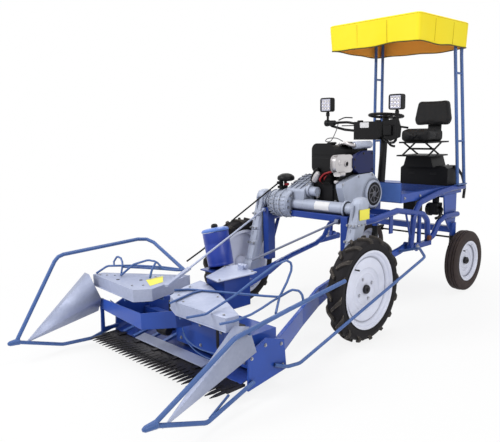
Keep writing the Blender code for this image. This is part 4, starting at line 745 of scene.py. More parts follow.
def canopy_cloth():
    """One sheet: out along the top, over a soft shoulder and down a slightly flared valance.

    Outline points times a growing share give the top; on the valance the share hardly changes and the level
    falls. The top sags between its hoops as sin^2(pi y) (1 - x^2). The hem's level waves as a sum of two
    sines of the way round, and its flare as a third.
    """
    middle = np.array([0.0, (CLOTH_FRONT + CLOTH_REAR) / 2])
    width, depth = 2 * CLOTH_HALF, CLOTH_REAR - CLOTH_FRONT
    outline = rounded(width - 0.010, depth - 0.010, 0.030, 7)
    closed = np.concatenate([outline, outline[:1]])
    way = way_along(closed)
    around_way = np.linspace(0, way[-1], 240, endpoint=False)
    ring = np.stack([np.interp(around_way, way, closed[:, i]) for i in (0, 1)], -1)
    share = np.concatenate([np.linspace(0.02, 0.965, 16), [0.988, 1.002, 1.008, 1.009],
                            np.linspace(1.008, 0.985, 12)])
    fall = np.concatenate([np.zeros(16), [0.0015, 0.006, 0.013, 0.022], np.linspace(0.032, VALANCE, 12)])
    phase = around_way / way[-1] * 2 * math.pi
    wave = 0.0060 * np.sin(7 * phase + 0.6)
    hem = np.clip(fall / VALANCE, 0, 1)[:, None] ** 2
    flat = ring[None] * share[:, None, None]
    outward = unit(ring)
    flat = flat + outward[None] * (hem * wave[None] * 0.5)[..., None]
    x, y = flat[..., 0] / (width / 2), flat[..., 1] / (depth / 2)
    sag = -0.006 * np.sin(math.pi * ((y + 1) % 1.0)) ** 2 * (1 - x ** 2) * (share[:, None] < 1)
    lift = 0.0060 * np.sin(4 * phase + 2.4) + 0.003 * np.sin(9 * phase)
    level = CLOTH_TOP - fall[:, None] + sag + hem * lift[None] - 0.002
    points = np.stack([flat[..., 0], flat[..., 1] + middle[1], level], -1)
    rows, columns = points.shape[:2]
    faces = [strip_faces(rows, columns, round_columns=True), np.arange(columns)[None, ::-1]]
    made = piece("canopy_sheet", "chassis", "canopy_cloth", [(points.reshape(-1, 3), faces)], ("canopy",),
                 sharp=180)
    mesh = made.data
    if mesh.polygons[40].normal.z < 0:  # a face of the flat top
        mesh.flip_normals()
    inwards = made.modifiers.new("thickness", "SOLIDIFY")
    inwards.thickness, inwards.offset = 0.0022, -1
    # the solidified inner face takes the deeper orange finish: painted shade on the canopy's underside
    inwards.material_offset = 1
    mesh.materials.append(finishes["cloth_underside_shade"])
    run = way_along(points[:, 0])
    u = np.broadcast_to(around_way[None], (rows, columns)).reshape(-1)
    v = np.broadcast_to(run[:, None], (rows, columns)).reshape(-1)
    layer = mesh.uv_layers.new(name="sheet")
    corners = np.zeros(len(mesh.loops), int)
    mesh.loops.foreach_get("vertex_index", corners)
    layer.data.foreach_set("uv", np.stack([u[corners], v[corners]], -1).reshape(-1))
    hem_line = points[-1]
    loop = np.concatenate([hem_line[-3:], hem_line, hem_line[:3]])
    upright = np.array([0.0, 0.0, 1.0])
    side = unit(np.cross(unit(np.gradient(loop, axis=0)[3:-3]), upright))
    a = np.linspace(0, 2 * math.pi, 8, endpoint=False)[None, :, None]
    section = np.cos(a) * side[:, None] + np.sin(a) * upright
    cord = hem_line[:, None] + 0.0042 * section + np.array([0, 0, 0.002])
    round_faces = [strip_faces(columns, 8, round_rows=True, round_columns=True)]
    hem_piece = piece("canopy_hem", "chassis", "piping", [facing_out((cord.reshape(-1, 3), round_faces))])
    shoulder = points[SHOULDER_ROW][:, None] + 0.0016 * section
    seams = [facing_out((shoulder.reshape(-1, 3), round_faces))]
    down = np.linspace(CLOTH_TOP - 0.03, CLOTH_TOP - VALANCE + 0.012, 9)
    for at in (-0.135, 0.135):
        flare = CLOTH_FRONT + 0.0010 + np.linspace(0, 0.0075, 9)
        seams.append(pipe(np.stack([np.full(9, at), flare, down], -1), 0.0015, 6))
    for at in (1.12, 1.40):
        flare = CLOTH_HALF - 0.0010 - np.linspace(0, 0.0085, 9)
        seams.append(pipe(np.stack([flare, np.full(9, at), down], -1), 0.0015, 6))
    # the seams take a darker yellow: painted shade along the cloth's folds
    seam_piece = piece("canopy_seams", "chassis", "seam_shade_yellow", seams)


# Seat pads


def swollen_pad(name, node, cap, floor_level=None, shrink=0.94):
    """A padded cover: the solid is remeshed, blown up a little as cloth, each point's travel capped."""
    source = bmesh.new()
    source.from_mesh(cad_nodes[node].data)
    bmesh.ops.remove_doubles(source, verts=source.verts, dist=1e-5)
    low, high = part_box(node)
    middle = (low + high) / 2
    bmesh.ops.scale(source, vec=(shrink, shrink, shrink), space=Matrix.Translation(-middle),
                    verts=source.verts)
    mesh = bpy.data.meshes.new(name)
    source.to_mesh(mesh)
    source.free()
    made = bpy.data.objects.new(name, mesh)
    bpy.context.scene.collection.objects.link(made)
    grid = made.modifiers.new("grid", "REMESH")
    grid.mode, grid.voxel_size = "VOXEL", 0.007
    settle(made)
    count = len(made.data.vertices)
    rest = np.zeros(count * 3)
    made.data.vertices.foreach_get("co", rest)
    rest = rest.reshape(-1, 3)
    moved = rest
    cloth = made.modifiers.new("cloth", "CLOTH")
    cloth.settings.use_pressure = True
    cloth.settings.uniform_pressure_force = 4.0
    cloth.settings.effector_weights.gravity = 0.0
    cloth.point_cache.frame_start, cloth.point_cache.frame_end = 1, 20
    scene = bpy.context.scene
    for step in range(1, 21):
        scene.frame_set(step)
    state = made.evaluated_get(bpy.context.evaluated_depsgraph_get()).to_mesh()
    moved = np.zeros(count * 3)
    state.vertices.foreach_get("co", moved)
    moved = moved.reshape(-1, 3)
    made.modifiers.clear()
    scene.frame_set(1)
    travel = moved - rest
    length = np.linalg.norm(travel, axis=1, keepdims=True)
    points = rest + travel * np.minimum(1.0, cap / np.maximum(length, 1e-9))
    if floor_level is not None:
        points[:, 2] = np.maximum(points[:, 2], floor_level)
    points = np.clip(points, np.array(low) - 0.006, np.array(high) + 0.008)
    made.data.vertices.foreach_set("co", points.reshape(-1))
    made.data.polygons.foreach_set("use_smooth", np.ones(len(made.data.polygons), bool))
    made.data.materials.append(finishes["seat_vinyl"])
    fine = made.modifiers.new("fine", "SUBSURF")
    fine.levels = fine.render_levels = 1
    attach(made, "chassis")
    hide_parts(node)
    return made


def settle(made):
    """The modifiers' result becomes the object's own mesh."""
    state = bpy.data.meshes.new_from_object(made.evaluated_get(bpy.context.evaluated_depsgraph_get()))
    made.modifiers.clear()
    made.data = state


def seat_pads():
    """Cushion and backrest, with the box's bolts and hand holes."""
    base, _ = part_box("seat_cushion")
    swollen_pad("cushion", "seat_cushion", 0.010, floor_level=base[2])
    swollen_pad("backrest", "seat_backrest", 0.005)
    rim_heads = [(x, y, 1.0235 + 0.007) for x in (-0.03, 0.27) for y in (1.53, 1.66)]
    piece("seat_box_bolts", "chassis", "bolt_dark", [bolts(rim_heads, (0, 0, 1), 0.007, 0.005)])
    # the hand holes are thin near-black slabs on the box face: painted shade where the holes are
    cuts = [slice_of(rounded(0.022, 0.060, 0.010, 4) + [0.965, x], 1, 1.4975, 1.5003) for x in (0.02, 0.22)]
    piece("seat_box_hand_holes", "chassis", "hole_shade", cuts)


# Engine

ENGINE_LOW = -0.0305
ENGINE_FLANK = 0.1897
MUFFLER_FACE = ENGINE_FLANK + 0.0402
MUFFLER_OUTLET = (MUFFLER_FACE, 0.275, 1.113)
FAN = (ENGINE_FLANK + 0.055, 0.570, 0.880)


def engine():
    """Tank, muffler, cylinder, starter, air cleaner and fan housing, each a pressed, cast or bent shape."""
    tank_low, tank_high = ENGINE_LOW + 0.0105, ENGINE_FLANK - 0.040
    middle_x, middle_z = (tank_low + tank_high) / 2, 1.150
    outline = rounded(0.1785, tank_high - tank_low, 0.032, 7) + [middle_z, middle_x]
    band = rounded(0.020, tank_high - tank_low + 0.006, 0.004, 3) + [middle_z + 0.012, middle_x]
    piece("tank_shell", "chassis", "black_paint", [slice_of(outline, 1, 0.222, 0.618)], ("fuel_tank",),
          bevel=0.016, segments=4, sharp=30)
    piece("tank_seam", "chassis", "black_paint", [slice_of(band, 1, 0.219, 0.621)], bevel=0.002)
    neck = [(1.232, 0.001), (1.232, 0.026), (1.246, 0.026), (1.247, 0.033), (1.256, 0.034), (1.261, 0.030),
            (1.262, 0.001)]
    cap = (0.060, 0.330, 0)
    grips = around((cap[0], cap[1], 1.254), 2, 0.0335, 14)
    piece("tank_cap", "chassis", "black_paint", [revolve(neck, 2, cap, 40)] +
          [slab(p - 0.0022, p + 0.0022) for p in grips])
    # muffler: pressed box with a rolled seam, a dimple and the outlet
    low_x, high_x = ENGINE_FLANK - 0.0080, MUFFLER_FACE - 0.0002
    plan = rounded(0.174, 0.100, 0.030, 7) + [0.257, 1.115]
    seam = rounded(0.182, 0.108, 0.034, 7) + [0.257, 1.115]
    dimple = np.array([(-0.002, 0.001), (0.004, 0.003), (0.0025, 0.009), (0.0045, 0.013), (0.001, 0.019),
                       (-0.002, 0.019)])
    piece("muffler_shell", "chassis", "silver_metal", [slice_of(plan, 0, low_x, high_x)], ("muffler",),
          bevel=0.012, segments=4, sharp=30)
    collar = np.array([(-0.002, 0.016), (0.008, 0.016), (0.008, 0.019), (-0.002, 0.021)])
    piece("muffler_seam", "chassis", "silver_metal",
          [slice_of(seam, 0, low_x + 0.004, low_x + 0.008),
           revolve(dimple, 0, (MUFFLER_FACE, 0.205, 1.125), 28),
           revolve(collar, 0, MUFFLER_OUTLET, 28, closed=True)], bevel=0.001)
    # the outlet is a near-black drum: painted shade inside the pipe's mouth
    piece("muffler_outlet", "chassis", "hole_shade", [drum(-0.001, 0.0040, 0.0165, 0, MUFFLER_OUTLET, 20)])
    # cylinder and head below the tank
    fins = [slice_of(rounded(0.105, 0.120, 0.016, 4) + [0.105, 0.255], 2, z, z + 0.0035)
            for z in np.arange(0.985, 1.052, 0.0095)]
    fins.append(slice_of(rounded(0.085, 0.100, 0.014, 4) + [0.105, 0.255], 2, 0.975, 1.056))
    piece("cylinder_fins", "chassis", "black_paint", fins, bevel=0.0008, segments=1)
    crank_bolts = [(x, 0.2385, z) for x in (0.000, 0.055, 0.110, 0.165) for z in (0.850, 0.990)]
    crank_bolts += [(0.030, 0.2385, 0.915), (0.135, 0.2385, 0.935)]
    piece("crankcase_bolts", "chassis", "bolt_zinc", [bolts(crank_bolts, (0, -1, 0), 0.0075, 0.006)])
    cover = rounded(0.150, 0.125, 0.020, 6)
    plates = [slice_of(cover + [0.915, 0.082], 1, 0.2300, 0.2400)]
    plates.append(slice_of(rounded(0.050, 0.090, 0.012, 5) + [1.010, 0.060], 1, 0.226, 0.240))
    piece("crankcase_cover", "chassis", "black_paint", plates, bevel=0.003)
    filler = [(0.000, 0.001), (0.000, 0.014), (0.020, 0.013), (0.024, 0.009), (0.024, 0.001)]
    drums = [revolve(np.array(filler) * [-1, 1], 1, (x, 0.232, z), 24)
             for x, z in ((0.127, 0.986), (0.184, 0.989), (0.020, 0.880))]
    drums.append(slice_of(rounded(0.030, 0.060, 0.012, 5) + [1.046, 0.212], 1, 0.196, 0.250))
    piece("oil_fittings", "chassis", "silver_metal", drums, bevel=0.003)
    lean = smooth_line([(0.006, 0.196, 0.986), (0.012, 0.196, 0.994), (0.032, 0.196, 1.022),
                        (0.050, 0.196, 1.047), (0.056, 0.196, 1.055)], 4)
    swell = np.interp(np.linspace(0, 1, len(lean)), [0, 0.18, 0.5, 0.82, 1],
                      [0.006, 0.021, 0.025, 0.021, 0.006])
    piece("starter_motor", "chassis", "silver_metal", [pipe(lean, swell, 24)])
    strap = smooth_line([(-0.020, 0.205, 0.985), (-0.012, 0.205, 1.020), (0.015, 0.205, 1.062),
                         (0.040, 0.205, 1.075)], 4)
    piece("starter_strap", "chassis", "black_paint", [pipe(strap, 0.012, 12)])
    lines = [smooth_line([(0.178, 0.215, 1.064), (0.150, 0.196, 1.058), (0.112, 0.188, 1.046),
                          (0.084, 0.188, 1.026), (0.066, 0.190, 0.998), (0.062, 0.232, 0.975)]),
             smooth_line([(0.150, 0.215, 1.050), (0.120, 0.200, 1.032), (0.100, 0.196, 1.006),
                          (0.092, 0.232, 0.985)])]
    piece("fuel_pipes", "chassis", "hose_red", [pipe(lines[0], 0.0065, 12), pipe(lines[1], 0.004, 10)])
    # air cleaner on top of the cowl, with the intake and its clamp
    can = [(0.425, 0.001), (0.425, 0.024), (0.430, 0.028), (0.470, 0.028), (0.472, 0.030), (0.478, 0.030),
           (0.480, 0.028), (0.615, 0.028), (0.622, 0.024), (0.622, 0.001)]
    piece("air_cleaner", "chassis", "canister_grey", [revolve(can, 1, (0.185, 0, 1.236), 32)])
    elbow = smooth_line([(0.185, 0.420, 1.236), (0.182, 0.385, 1.240), (0.165, 0.355, 1.252),
                         (0.135, 0.345, 1.252), (0.115, 0.345, 1.235)])
    rocker = rounded(0.075, 0.050, 0.014, 5) + [0.392, 0.140]
    piece("intake_elbow", "chassis", "silver_metal",
          [pipe(elbow, 0.013, 14), slice_of(rocker[:, ::-1], 2, 1.238, 1.262)], bevel=0.003)
    cowl_spots = [(ENGINE_FLANK + 0.048, y, z) for y, z in ((0.362, 1.140), (0.362, 1.085), (0.575, 1.175),
                                                            (0.580, 1.060), (0.470, 1.178))]
    piece("cowl_edge_bolts", "chassis", "bolt_dark", [bolts(cowl_spots, (1, 0, 0), 0.006, 0.004)])
    # fan housing: raised ring, a near-black drum as painted shade in the recess, ribs and the starting pulley
    ring = np.array([(-0.004, 0.084), (0.017, 0.084), (0.022, 0.088), (0.023, 0.094), (0.017, 0.101),
                     (-0.004, 0.106)])
    outer = np.array([(-0.004, 0.112), (0.003, 0.113), (0.003, 0.117), (-0.004, 0.118)])
    piece("fan_ring", "chassis", "grey_casting", [revolve(ring, 0, FAN, 64, closed=True),
                                                  revolve(outer, 0, FAN, 64, closed=True)], bevel=0.001)
    hub = (FAN[0] + 0.0180, FAN[1], FAN[2])
    piece("fan_recess", "chassis", "hole_shade", [drum(-0.001, 0.0180, 0.0845, 0, FAN, 48)])
    vanes = []
    for turn in np.linspace(0, 2 * math.pi, 7, endpoint=False):
        reach = np.linspace(0.016, 0.062, 6)
        swing = turn + (reach - 0.016) * 8.0
        spokes = np.stack([np.full(6, 0.0), reach * np.cos(swing), reach * np.sin(swing)], -1) + hub
        vanes.append(pipe(spokes, 0.0034, 6))
    hoop = [(-0.002, 0.058), (0.003, 0.059), (0.003, 0.066), (-0.002, 0.067)]
    pulley = [(-0.001, 0.001), (-0.001, 0.022), (0.004, 0.022), (0.007, 0.016), (0.007, 0.001)]
    vanes += [revolve(hoop, 0, hub, 48, closed=True), revolve(pulley, 0, hub, 28)]
    piece("fan_vanes", "chassis", "fan_grey", vanes)
    edge_spots = [(FAN[0], y, z) for y, z in ((0.218, 0.975), (0.262, 0.850), (0.400, 0.802), (0.520, 0.798),
                                              (0.640, 0.798), (0.668, 0.880), (0.655, 0.950), (0.572, 1.020),
                                              (0.405, 1.016))]
    piece("fan_housing_bolts", "chassis", "bolt_zinc", [bolts(edge_spots, (1, 0, 0), 0.006, 0.005)])


# Transmission and axles

AXLE_TUBE = np.array([0.0, 0.150, 0.820])


def transmission():
    """Casting detail: bolted flanges, ribs along the bell and a ribbed top on the case."""
    ribs = []
    for turn in np.linspace(0, 2 * math.pi, 22, endpoint=False):
        y, z = math.cos(turn), math.sin(turn)
        if z > 0.75:
            continue
        for low, high, r in ((-0.318, -0.284, 0.1035), (-0.252, -0.222, 0.1040), (-0.198, -0.160, 0.1035)):
            core = np.array([[0.090, -0.0028], [r, -0.0028], [r, 0.0028], [0.090, 0.0028]])
            spun = core @ np.array([[y, z], [-z, y]])
            ribs.append(slice_of(spun + AXLE_TUBE[1:], 0, low, high))
    for x in (-0.330, -0.142):
        ribs.append(revolve([(x - 0.003, 0.088), (x + 0.005, 0.096), (x + 0.009, 0.096), (x + 0.009, 0.088)],
                            0, AXLE_TUBE, 56, closed=True))
    # ribs over the case's top and side
    for y in np.arange(0.215, 0.410, 0.0245):
        top = min(1.008, 0.930 + (y - 0.130) * 0.40) + 0.008
        ribs.append(slab((-0.206, y - 0.003, 0.850), (-0.0300, y + 0.003, top)))
    for x in (-0.165, -0.120, -0.075):
        ribs.append(slice_of([(0.140, 0.925), (0.140, 0.942), (0.330, 1.020), (0.395, 1.020), (0.395, 1.000),
                              (0.330, 1.000)], 0, x - 0.003, x + 0.003))
    ribs.append(revolve([(-0.031, 0.034), (-0.021, 0.050), (-0.021, 0.056), (-0.031, 0.062)], 0,
                        (0, 0.310, 0.930), 36, closed=True))
    piece("gear_case_ribs", "chassis", "grey_casting", ribs, bevel=0.0012, segments=1)
    heads = [bolts(around(AXLE_TUBE + (-0.3335, 0, 0), 0, 0.078, 10), (-1, 0, 0), 0.006, 0.006),
             bolts(around(AXLE_TUBE + (-0.136, 0, 0), 0, 0.072, 10, 0.3), (1, 0, 0), 0.006, 0.006)]
    flange = around(AXLE_TUBE, 0, 0.101, 18)
    for x in (-0.262, -0.205):
        spots = flange + (x, 0, 0)
        for spot in spots[spots[:, 2] < 0.90]:
            heads.append(bolts([spot], (0, spot[1] - AXLE_TUBE[1], spot[2] - AXLE_TUBE[2]), 0.0058, 0.0085,
                               False))
    top_spots = [(x, y, min(1.006, 0.928 + (y - 0.130) * 0.40) + 0.010) for x in (-0.190, -0.045)
                 for y in np.arange(0.180, 0.390, 0.040)]
    heads.append(bolts(top_spots, (0, -0.3, 1), 0.0065, 0.006))
    side_spots = [(-0.030, y, z) for y, z in ((0.250, 0.860), (0.390, 0.875), (0.390, 0.985), (0.250, 0.955),
                                              (0.340, 0.855))]
    heads.append(bolts(side_spots, (1, 0, 0), 0.0065, 0.005))
    heads.append(bolts(around((0.046, 0.190, 0.915), 0, 0.024, 6), (1, 0, 0), 0.004, 0.003, False))
    piece("gear_case_bolts", "chassis", "bolt_zinc", heads)
    dome = [(0.978, 0.001), (0.978, 0.046), (0.986, 0.062), (1.000, 0.0655), (1.014, 0.060), (1.027, 0.042),
            (1.034, 0.020), (1.0355, 0.001)]
    shaft = revolve([(0.905, 0.012), (0.984, 0.012)], 2, (-0.255, 0.180, 0), 20)
    piece("lever_knob", "chassis", "black_paint",
          [revolve(dome, 2, (-0.255, 0.186, 0), 40), shaft,
           slab((-0.275, 0.115, 0.9275), (-0.235, 0.185, 0.946)),
           slab((-0.262, 0.119, 0.928), (-0.248, 0.150, 0.985))], ("shift_lever",), bevel=0.001)
    collar = [(0.944, 0.014), (0.946, 0.020), (0.960, 0.020), (0.964, 0.014)]
    piece("lever_red_collar", "chassis", "knob_red", [revolve(collar, 2, (-0.250, 0.186, 0), 24)])
    for side, label in LABEL.items():
        spots, rows = [], ((0.731, 0.112, 0.068), (0.626, 0.079, 0.062), (0.516, 0.044, 0.056))
        for z, y, deep in rows:
            for x in (0.412, 0.440, 0.468):
                spots.append((side * x, y - deep, z))
        outer = [(side * 0.4805, y + shift, z) for z, y, deep in rows
                 for shift in (-deep * 0.55, 0.0, deep * 0.55)]
        ring = around((side * 0.4805, 0.0, 0.345), 0, 0.048, 6)
        piece(f"drop_case_bolts_{label}", "chassis", "bolt_zinc",
              [bolts(spots, (0, -1, 0.1), 0.0058, 0.0055), bolts(outer, (side, 0, 0), 0.0058, 0.0055),
               bolts(ring, (side, 0, 0), 0.0055, 0.005)])
        webs = [slab((side * 0.440 - 0.003, y - deep - 0.006, z0), (side * 0.440 + 0.003, y, z1))
                for y, deep, z0, z1 in ((0.1245, 0.060, 0.755, 0.860), (0.094, 0.052, 0.650, 0.705),
                                        (0.062, 0.048, 0.542, 0.600))]
        seat = revolve([(side * 0.338, 0.0525), (side * 0.334, 0.058), (side * 0.324, 0.058),
                        (side * 0.322, 0.0425)], 0, AXLE_TUBE, 40, closed=True)
        piece(f"drop_case_webs_{label}", "chassis", "grey_casting", webs + [seat], bevel=0.0012)
    # blank plates where the real machine has its labels
    wrap = np.linspace(math.radians(118), math.radians(208), 14)
    arc = np.stack([AXLE_TUBE[1] + 0.0428 * np.cos(wrap), AXLE_TUBE[2] + 0.0428 * np.sin(wrap)], -1)
    inner = np.stack([AXLE_TUBE[1] + 0.0421 * np.cos(wrap), AXLE_TUBE[2] + 0.0421 * np.sin(wrap)], -1)
    band = np.concatenate([arc, inner[::-1]])
    piece("tube_plate", "chassis", "plate_white", [slice_of(band, 0, 0.078, 0.207)], sharp=60)
    piece("axle_sticker", "chassis", "sticker_yellow", [slab((0.4806, 0.085, 0.762), (0.4812, 0.196, 0.832))])


# Operator's station

LAMP_PLACES = (("left", 0.309, 1.485), ("right", -0.333, 1.489))
# The column's lean and length up to the steering wheel's hub
LEAN, COLUMN = math.atan2(0.060, 0.570), 0.5453


def station():
    """The wheel is made flat and turned by the column's lean; dash, levers and lamps stand square."""
    c, s = math.cos(LEAN), math.sin(LEAN)
    hub = np.array((0.120, 0.870 + s * COLUMN, 0.8866 + c * COLUMN))
    tilt = np.array([[1, 0, 0], [0, c, -s], [0, s, c]])
    a = np.linspace(0, 2 * math.pi, 15)[:-1]
    grip = np.stack([0.018 + 0.0110 * np.sin(a), 0.1270 + 0.0110 * np.cos(a)], -1)
    shapes = [revolve(grip, 2, (0, 0, 0), 80, closed=True),
              revolve([(0.0008, 0.001), (0.0008, 0.030), (0.012, 0.034), (0.020, 0.030), (0.027, 0.018),
                       (0.028, 0.001)], 2, (0, 0, 0), 36)]
    for turn in (90, 210, 330):
        c, s = math.cos(math.radians(turn)), math.sin(math.radians(turn))
        line = smooth_line([(0.026 * c, 0.026 * s, 0.010), (0.070 * c, 0.070 * s, 0.008),
                            (0.118 * c, 0.118 * s, 0.017)])
        shapes.append(pipe(line, np.linspace(0.0085, 0.0065, len(line)), 10))
    turned = [(points @ tilt + hub, faces) for points, faces in shapes]
    piece("wheel_rim_and_spokes", "steering_wheel", "black_paint", turned, ("steering_wheel",))
    plate = slice_of(rounded(0.042, 0.082, 0.006, 4) + [1.3785, -0.0035], 1, 0.8182, 0.8200)
    piece("dash_plate", "chassis", "plate_white", [plate])
    dial = [(1.400, 0.001), (1.400, 0.024), (1.413, 0.024), (1.416, 0.020), (1.416, 0.001)]
    pods = [revolve(dial, 2, (x, 0.872, 0), 28) for x in (-0.080, 0.085)]
    bracket = [(1.406, 0.150), (1.425, 0.281), (1.351, 0.306), (1.285, 0.300), (1.255, 0.216), (1.285, 0.165)]
    pods.append(slice_of(bracket, 1, 0.836, 0.848))
    pods.append(slab((0.165, 0.820, 1.300), (0.235, 0.862, 1.372)))
    pods.append(rod([(0.240, 0.842, 1.370), (0.300, 0.860, 1.360), (0.345, 0.880, 1.352)], 0.008))
    pods.append(rod([(0.180, 0.842, 1.270), (0.215, 0.850, 1.225), (0.250, 0.850, 1.215)], 0.009))
    arm = smooth_line([(-0.100, 0.850, 1.388), (-0.170, 0.835, 1.402), (-0.240, 0.812, 1.402),
                       (-0.300, 0.790, 1.400)])
    tray = slice_of([(-0.100, 0.830), (-0.100, 0.905), (-0.245, 0.872), (-0.235, 0.835)], 2, 1.372, 1.380)
    clamp = revolve([(-0.352, 0.001), (-0.352, 0.026), (-0.338, 0.028), (-0.318, 0.024), (-0.316, 0.001)], 0,
                    (0, 0.780, 1.400), 28)
    latch = smooth_line([(-0.240, 0.800, 1.420), (-0.205, 0.835, 1.440), (-0.150, 0.865, 1.438)])
    pods += [pipe(arm, 0.010, 12), tray, clamp, pipe(latch, 0.005, 8)]
    piece("dash_levers", "chassis", "black_paint", pods, bevel=0.0012)
    mount = []
    for _, x, z in LAMP_PLACES:
        mount.append(revolve([(z - 0.035, 0.012), (z - 0.032, 0.015), (z - 0.012, 0.015),
                              (z + 0.0002, 0.011)], 2, (x, 0.780, 0), 24))
        mount += [slab((x - 0.040 + 0.016 * i, 0.8005, z + 0.018), (x - 0.036 + 0.016 * i, 0.8100, z + 0.096))
                  for i in range(6)]
    piece("lamp_fittings", "chassis", "black_paint", mount)
    cup = np.array([(0.0, 0.001), (0.0, 0.0115), (-0.0018, 0.0115), (-0.0018, 0.008), (-0.0008, 0.004),
                    (-0.0008, 0.001)])
    for label, x, z in LAMP_PLACES:
        cups = [revolve(cup, 1, (x + dx, 0.7552, z + 0.0563 + dz), 16)
                for dx in (-0.027, 0.0, 0.027) for dz in (-0.027, 0.0, 0.027)]
        piece(f"lamp_cells_{label}", "chassis", "silver_metal", cups)
    # throttle cable: out of the grip, down in front of the tank and up to the engine's lever
    route = smooth_line([(-0.228, 0.780, 1.392), (-0.236, 0.760, 1.330), (-0.190, 0.640, 1.262),
                         (-0.115, 0.480, 1.262), (-0.030, 0.400, 1.285), (0.045, 0.400, 1.287),
                         (0.110, 0.392, 1.266)], 10)
    cable = piece("throttle_cable", "chassis", "cable_grey", [pipe(route, 0.0035, 8)])


# Platform and frame

HEADER_PIVOT = (0.911, 0.455)


def platform():
    """Fasteners and fittings of the platform, the pedals' linkage under it and the header's pivot plates."""
    heads = []
    for side in LABEL:
        heads.append(bolts([(side * 0.3778, y, 0.833) for y in (0.800, 1.020, 1.240, 1.460, 1.660)],
                           (side, 0, 0), 0.0075, 0.006))
        heads.append(bolts([(side * 0.4285, *HEADER_PIVOT)], (side, 0, 0), 0.014, 0.012))
        heads.append(bolts([(side * 0.3905, y, z) for y, z in ((0.096, 0.430), (0.124, 0.430), (0.096, 0.520),
                                                               (0.124, 0.640))], (side, 0, 0), 0.0075, 0.006))
    piece("platform_bolts", "chassis", "bolt_zinc", heads)
    piece("platform_front_panel", "chassis", "deck_blue",
          [slab((-0.372, 0.7505, 0.806), (0.372, 0.7527, 0.944))], bevel=0.001)
    ridges = [slab((-0.345, y - 0.003, 0.8695), (0.345, y + 0.003, 0.8712))
              for y in np.arange(0.980, 1.470, 0.025)]
    piece("platform_tread", "chassis", "blue_paint", ridges, bevel=0.0005, segments=1)
    disc = [(0.4205, 0.001), (0.4205, 0.034), (0.4265, 0.034), (0.4275, 0.030), (0.4275, 0.001)]
    piece("pivot_plates", "chassis", "dark_blue_paint", [revolve(disc, 0, (0, *HEADER_PIVOT), 32)])
    under = [slab((0.280, 1.350, 0.640), (0.345, 1.440, 0.735)),
             slab((0.290, 1.375, 0.735), (0.330, 1.415, 0.806)),
             revolve([(0.240, 0.001), (0.240, 0.048), (0.252, 0.055), (0.275, 0.055), (0.282, 0.040),
                      (0.282, 0.001)], 0, (0, 1.395, 0.680), 32),
             rod([(0.340, 1.400, 0.700), (0.385, 1.360, 0.690), (0.395, 1.300, 0.640),
                  (0.392, 1.250, 0.630)], 0.011),
             rod([(0.330, 1.430, 0.650), (0.345, 1.480, 0.620), (0.350, 1.530, 0.640),
                  (0.345, 1.580, 0.700)], 0.008)]
    piece("pedal_linkage", "chassis", "black_paint", under, bevel=0.004)
    rust = revolve([(0.421, 0.001), (0.421, 0.020), (0.440, 0.020), (0.444, 0.012), (0.444, 0.001)], 0,
                   (0, 1.085, 0.500), 20)
    piece("worn_pin", "chassis", "rusty", [rust])


# Header

COVER_TOP = 0.4502
BLADES, CUT_WIDTH = 32, 1.22


def header():
    """Fasteners, holes and folded lips of the covers, then the chains, the comb and the sheet dividers."""
    heads, dark = [], []
    right_spots = [(-0.600, -1.150), (-0.640, -1.175), (-0.260, -1.180), (-0.215, -1.130), (-0.240, -0.870),
                   (-0.330, -0.960)]
    left_spots = [(0.230, -1.170), (0.560, -1.170), (0.300, -0.985), (0.060, -0.860), (0.020, -0.960),
                  (0.110, -1.110)]
    heads.append(bolts([(x, y, COVER_TOP) for x, y in right_spots + left_spots], (0, 0, 1), 0.0055, 0.004))
    for side in LABEL:
        plate_spots = [(side * 0.6412, y, z) for y, z in ((-1.060, 0.080), (-1.060, 0.210), (-0.960, 0.255),
                                                          (-0.840, 0.230), (-0.830, 0.110))]
        heads.append(bolts(plate_spots, (side, 0, 0), 0.007, 0.005))
    heads.append(bolts([(x, -1.0205, z) for x in (0.000, 0.180, 0.360, 0.540) for z in (0.150, 0.270)],
                       (0, -1, 0), 0.007, 0.005))
    heads.append(bolts([(-0.030, -0.640, 0.5035), (0.180, -0.600, 0.5035), (0.185, -0.870, 0.5035)],
                       (0, 0, 1), 0.006, 0.005))
    piece("header_bolts", "header", "bolt_zinc", heads)
    # the holes are thin near-black discs on the cover: painted shade where the openings are
    for x, y, r in ((-0.451, -1.159, 0.011), (-0.332, -1.068, 0.011), (-0.560, -1.115, 0.007)):
        dark.append(drum(0.0, 0.0006, r, 2, (x, y, COVER_TOP), 24))
    piece("cover_holes", "header", "hole_shade", dark)
    patch = [(-0.309, -1.047), (-0.173, -1.110), (-0.190, -1.003), (-0.311, -0.916)]
    piece("cover_sticker", "header", "sticker_yellow", [slice_of(patch, 2, COVER_TOP, COVER_TOP + 0.0006)])
    # folded edges along the front of both trays, and the throat's rounded nose
    for name, line in (("right", [(-0.694, -1.1972), (-0.175, -1.2282), (-0.109, -1.1395)]),
                       ("left", [(0.077, -1.1475), (0.205, -1.2035), (0.608, -1.2015)])):
        path = np.array([(x, y, 0.3790) for x, y in line])
        piece(f"tray_lip_{name}", "header", "galvanised_sheet", [rod(path, 0.0035, 8, 1)])
    gather()
    comb()
    divider(RIGHT, (-0.722, -1.664, 0.100), [(-0.740, -1.230, 0.460), (-0.648, -1.250, 0.468),
                                             (-0.580, -1.210, 0.312), (-0.645, -1.200, 0.215),
                                             (-0.735, -1.200, 0.250)])
    divider(LEFT, (0.712, -1.675, 0.093), [(0.625, -1.165, 0.408), (0.688, -1.120, 0.408),
                                           (0.688, -1.070, 0.262), (0.644, -1.093, 0.250)])


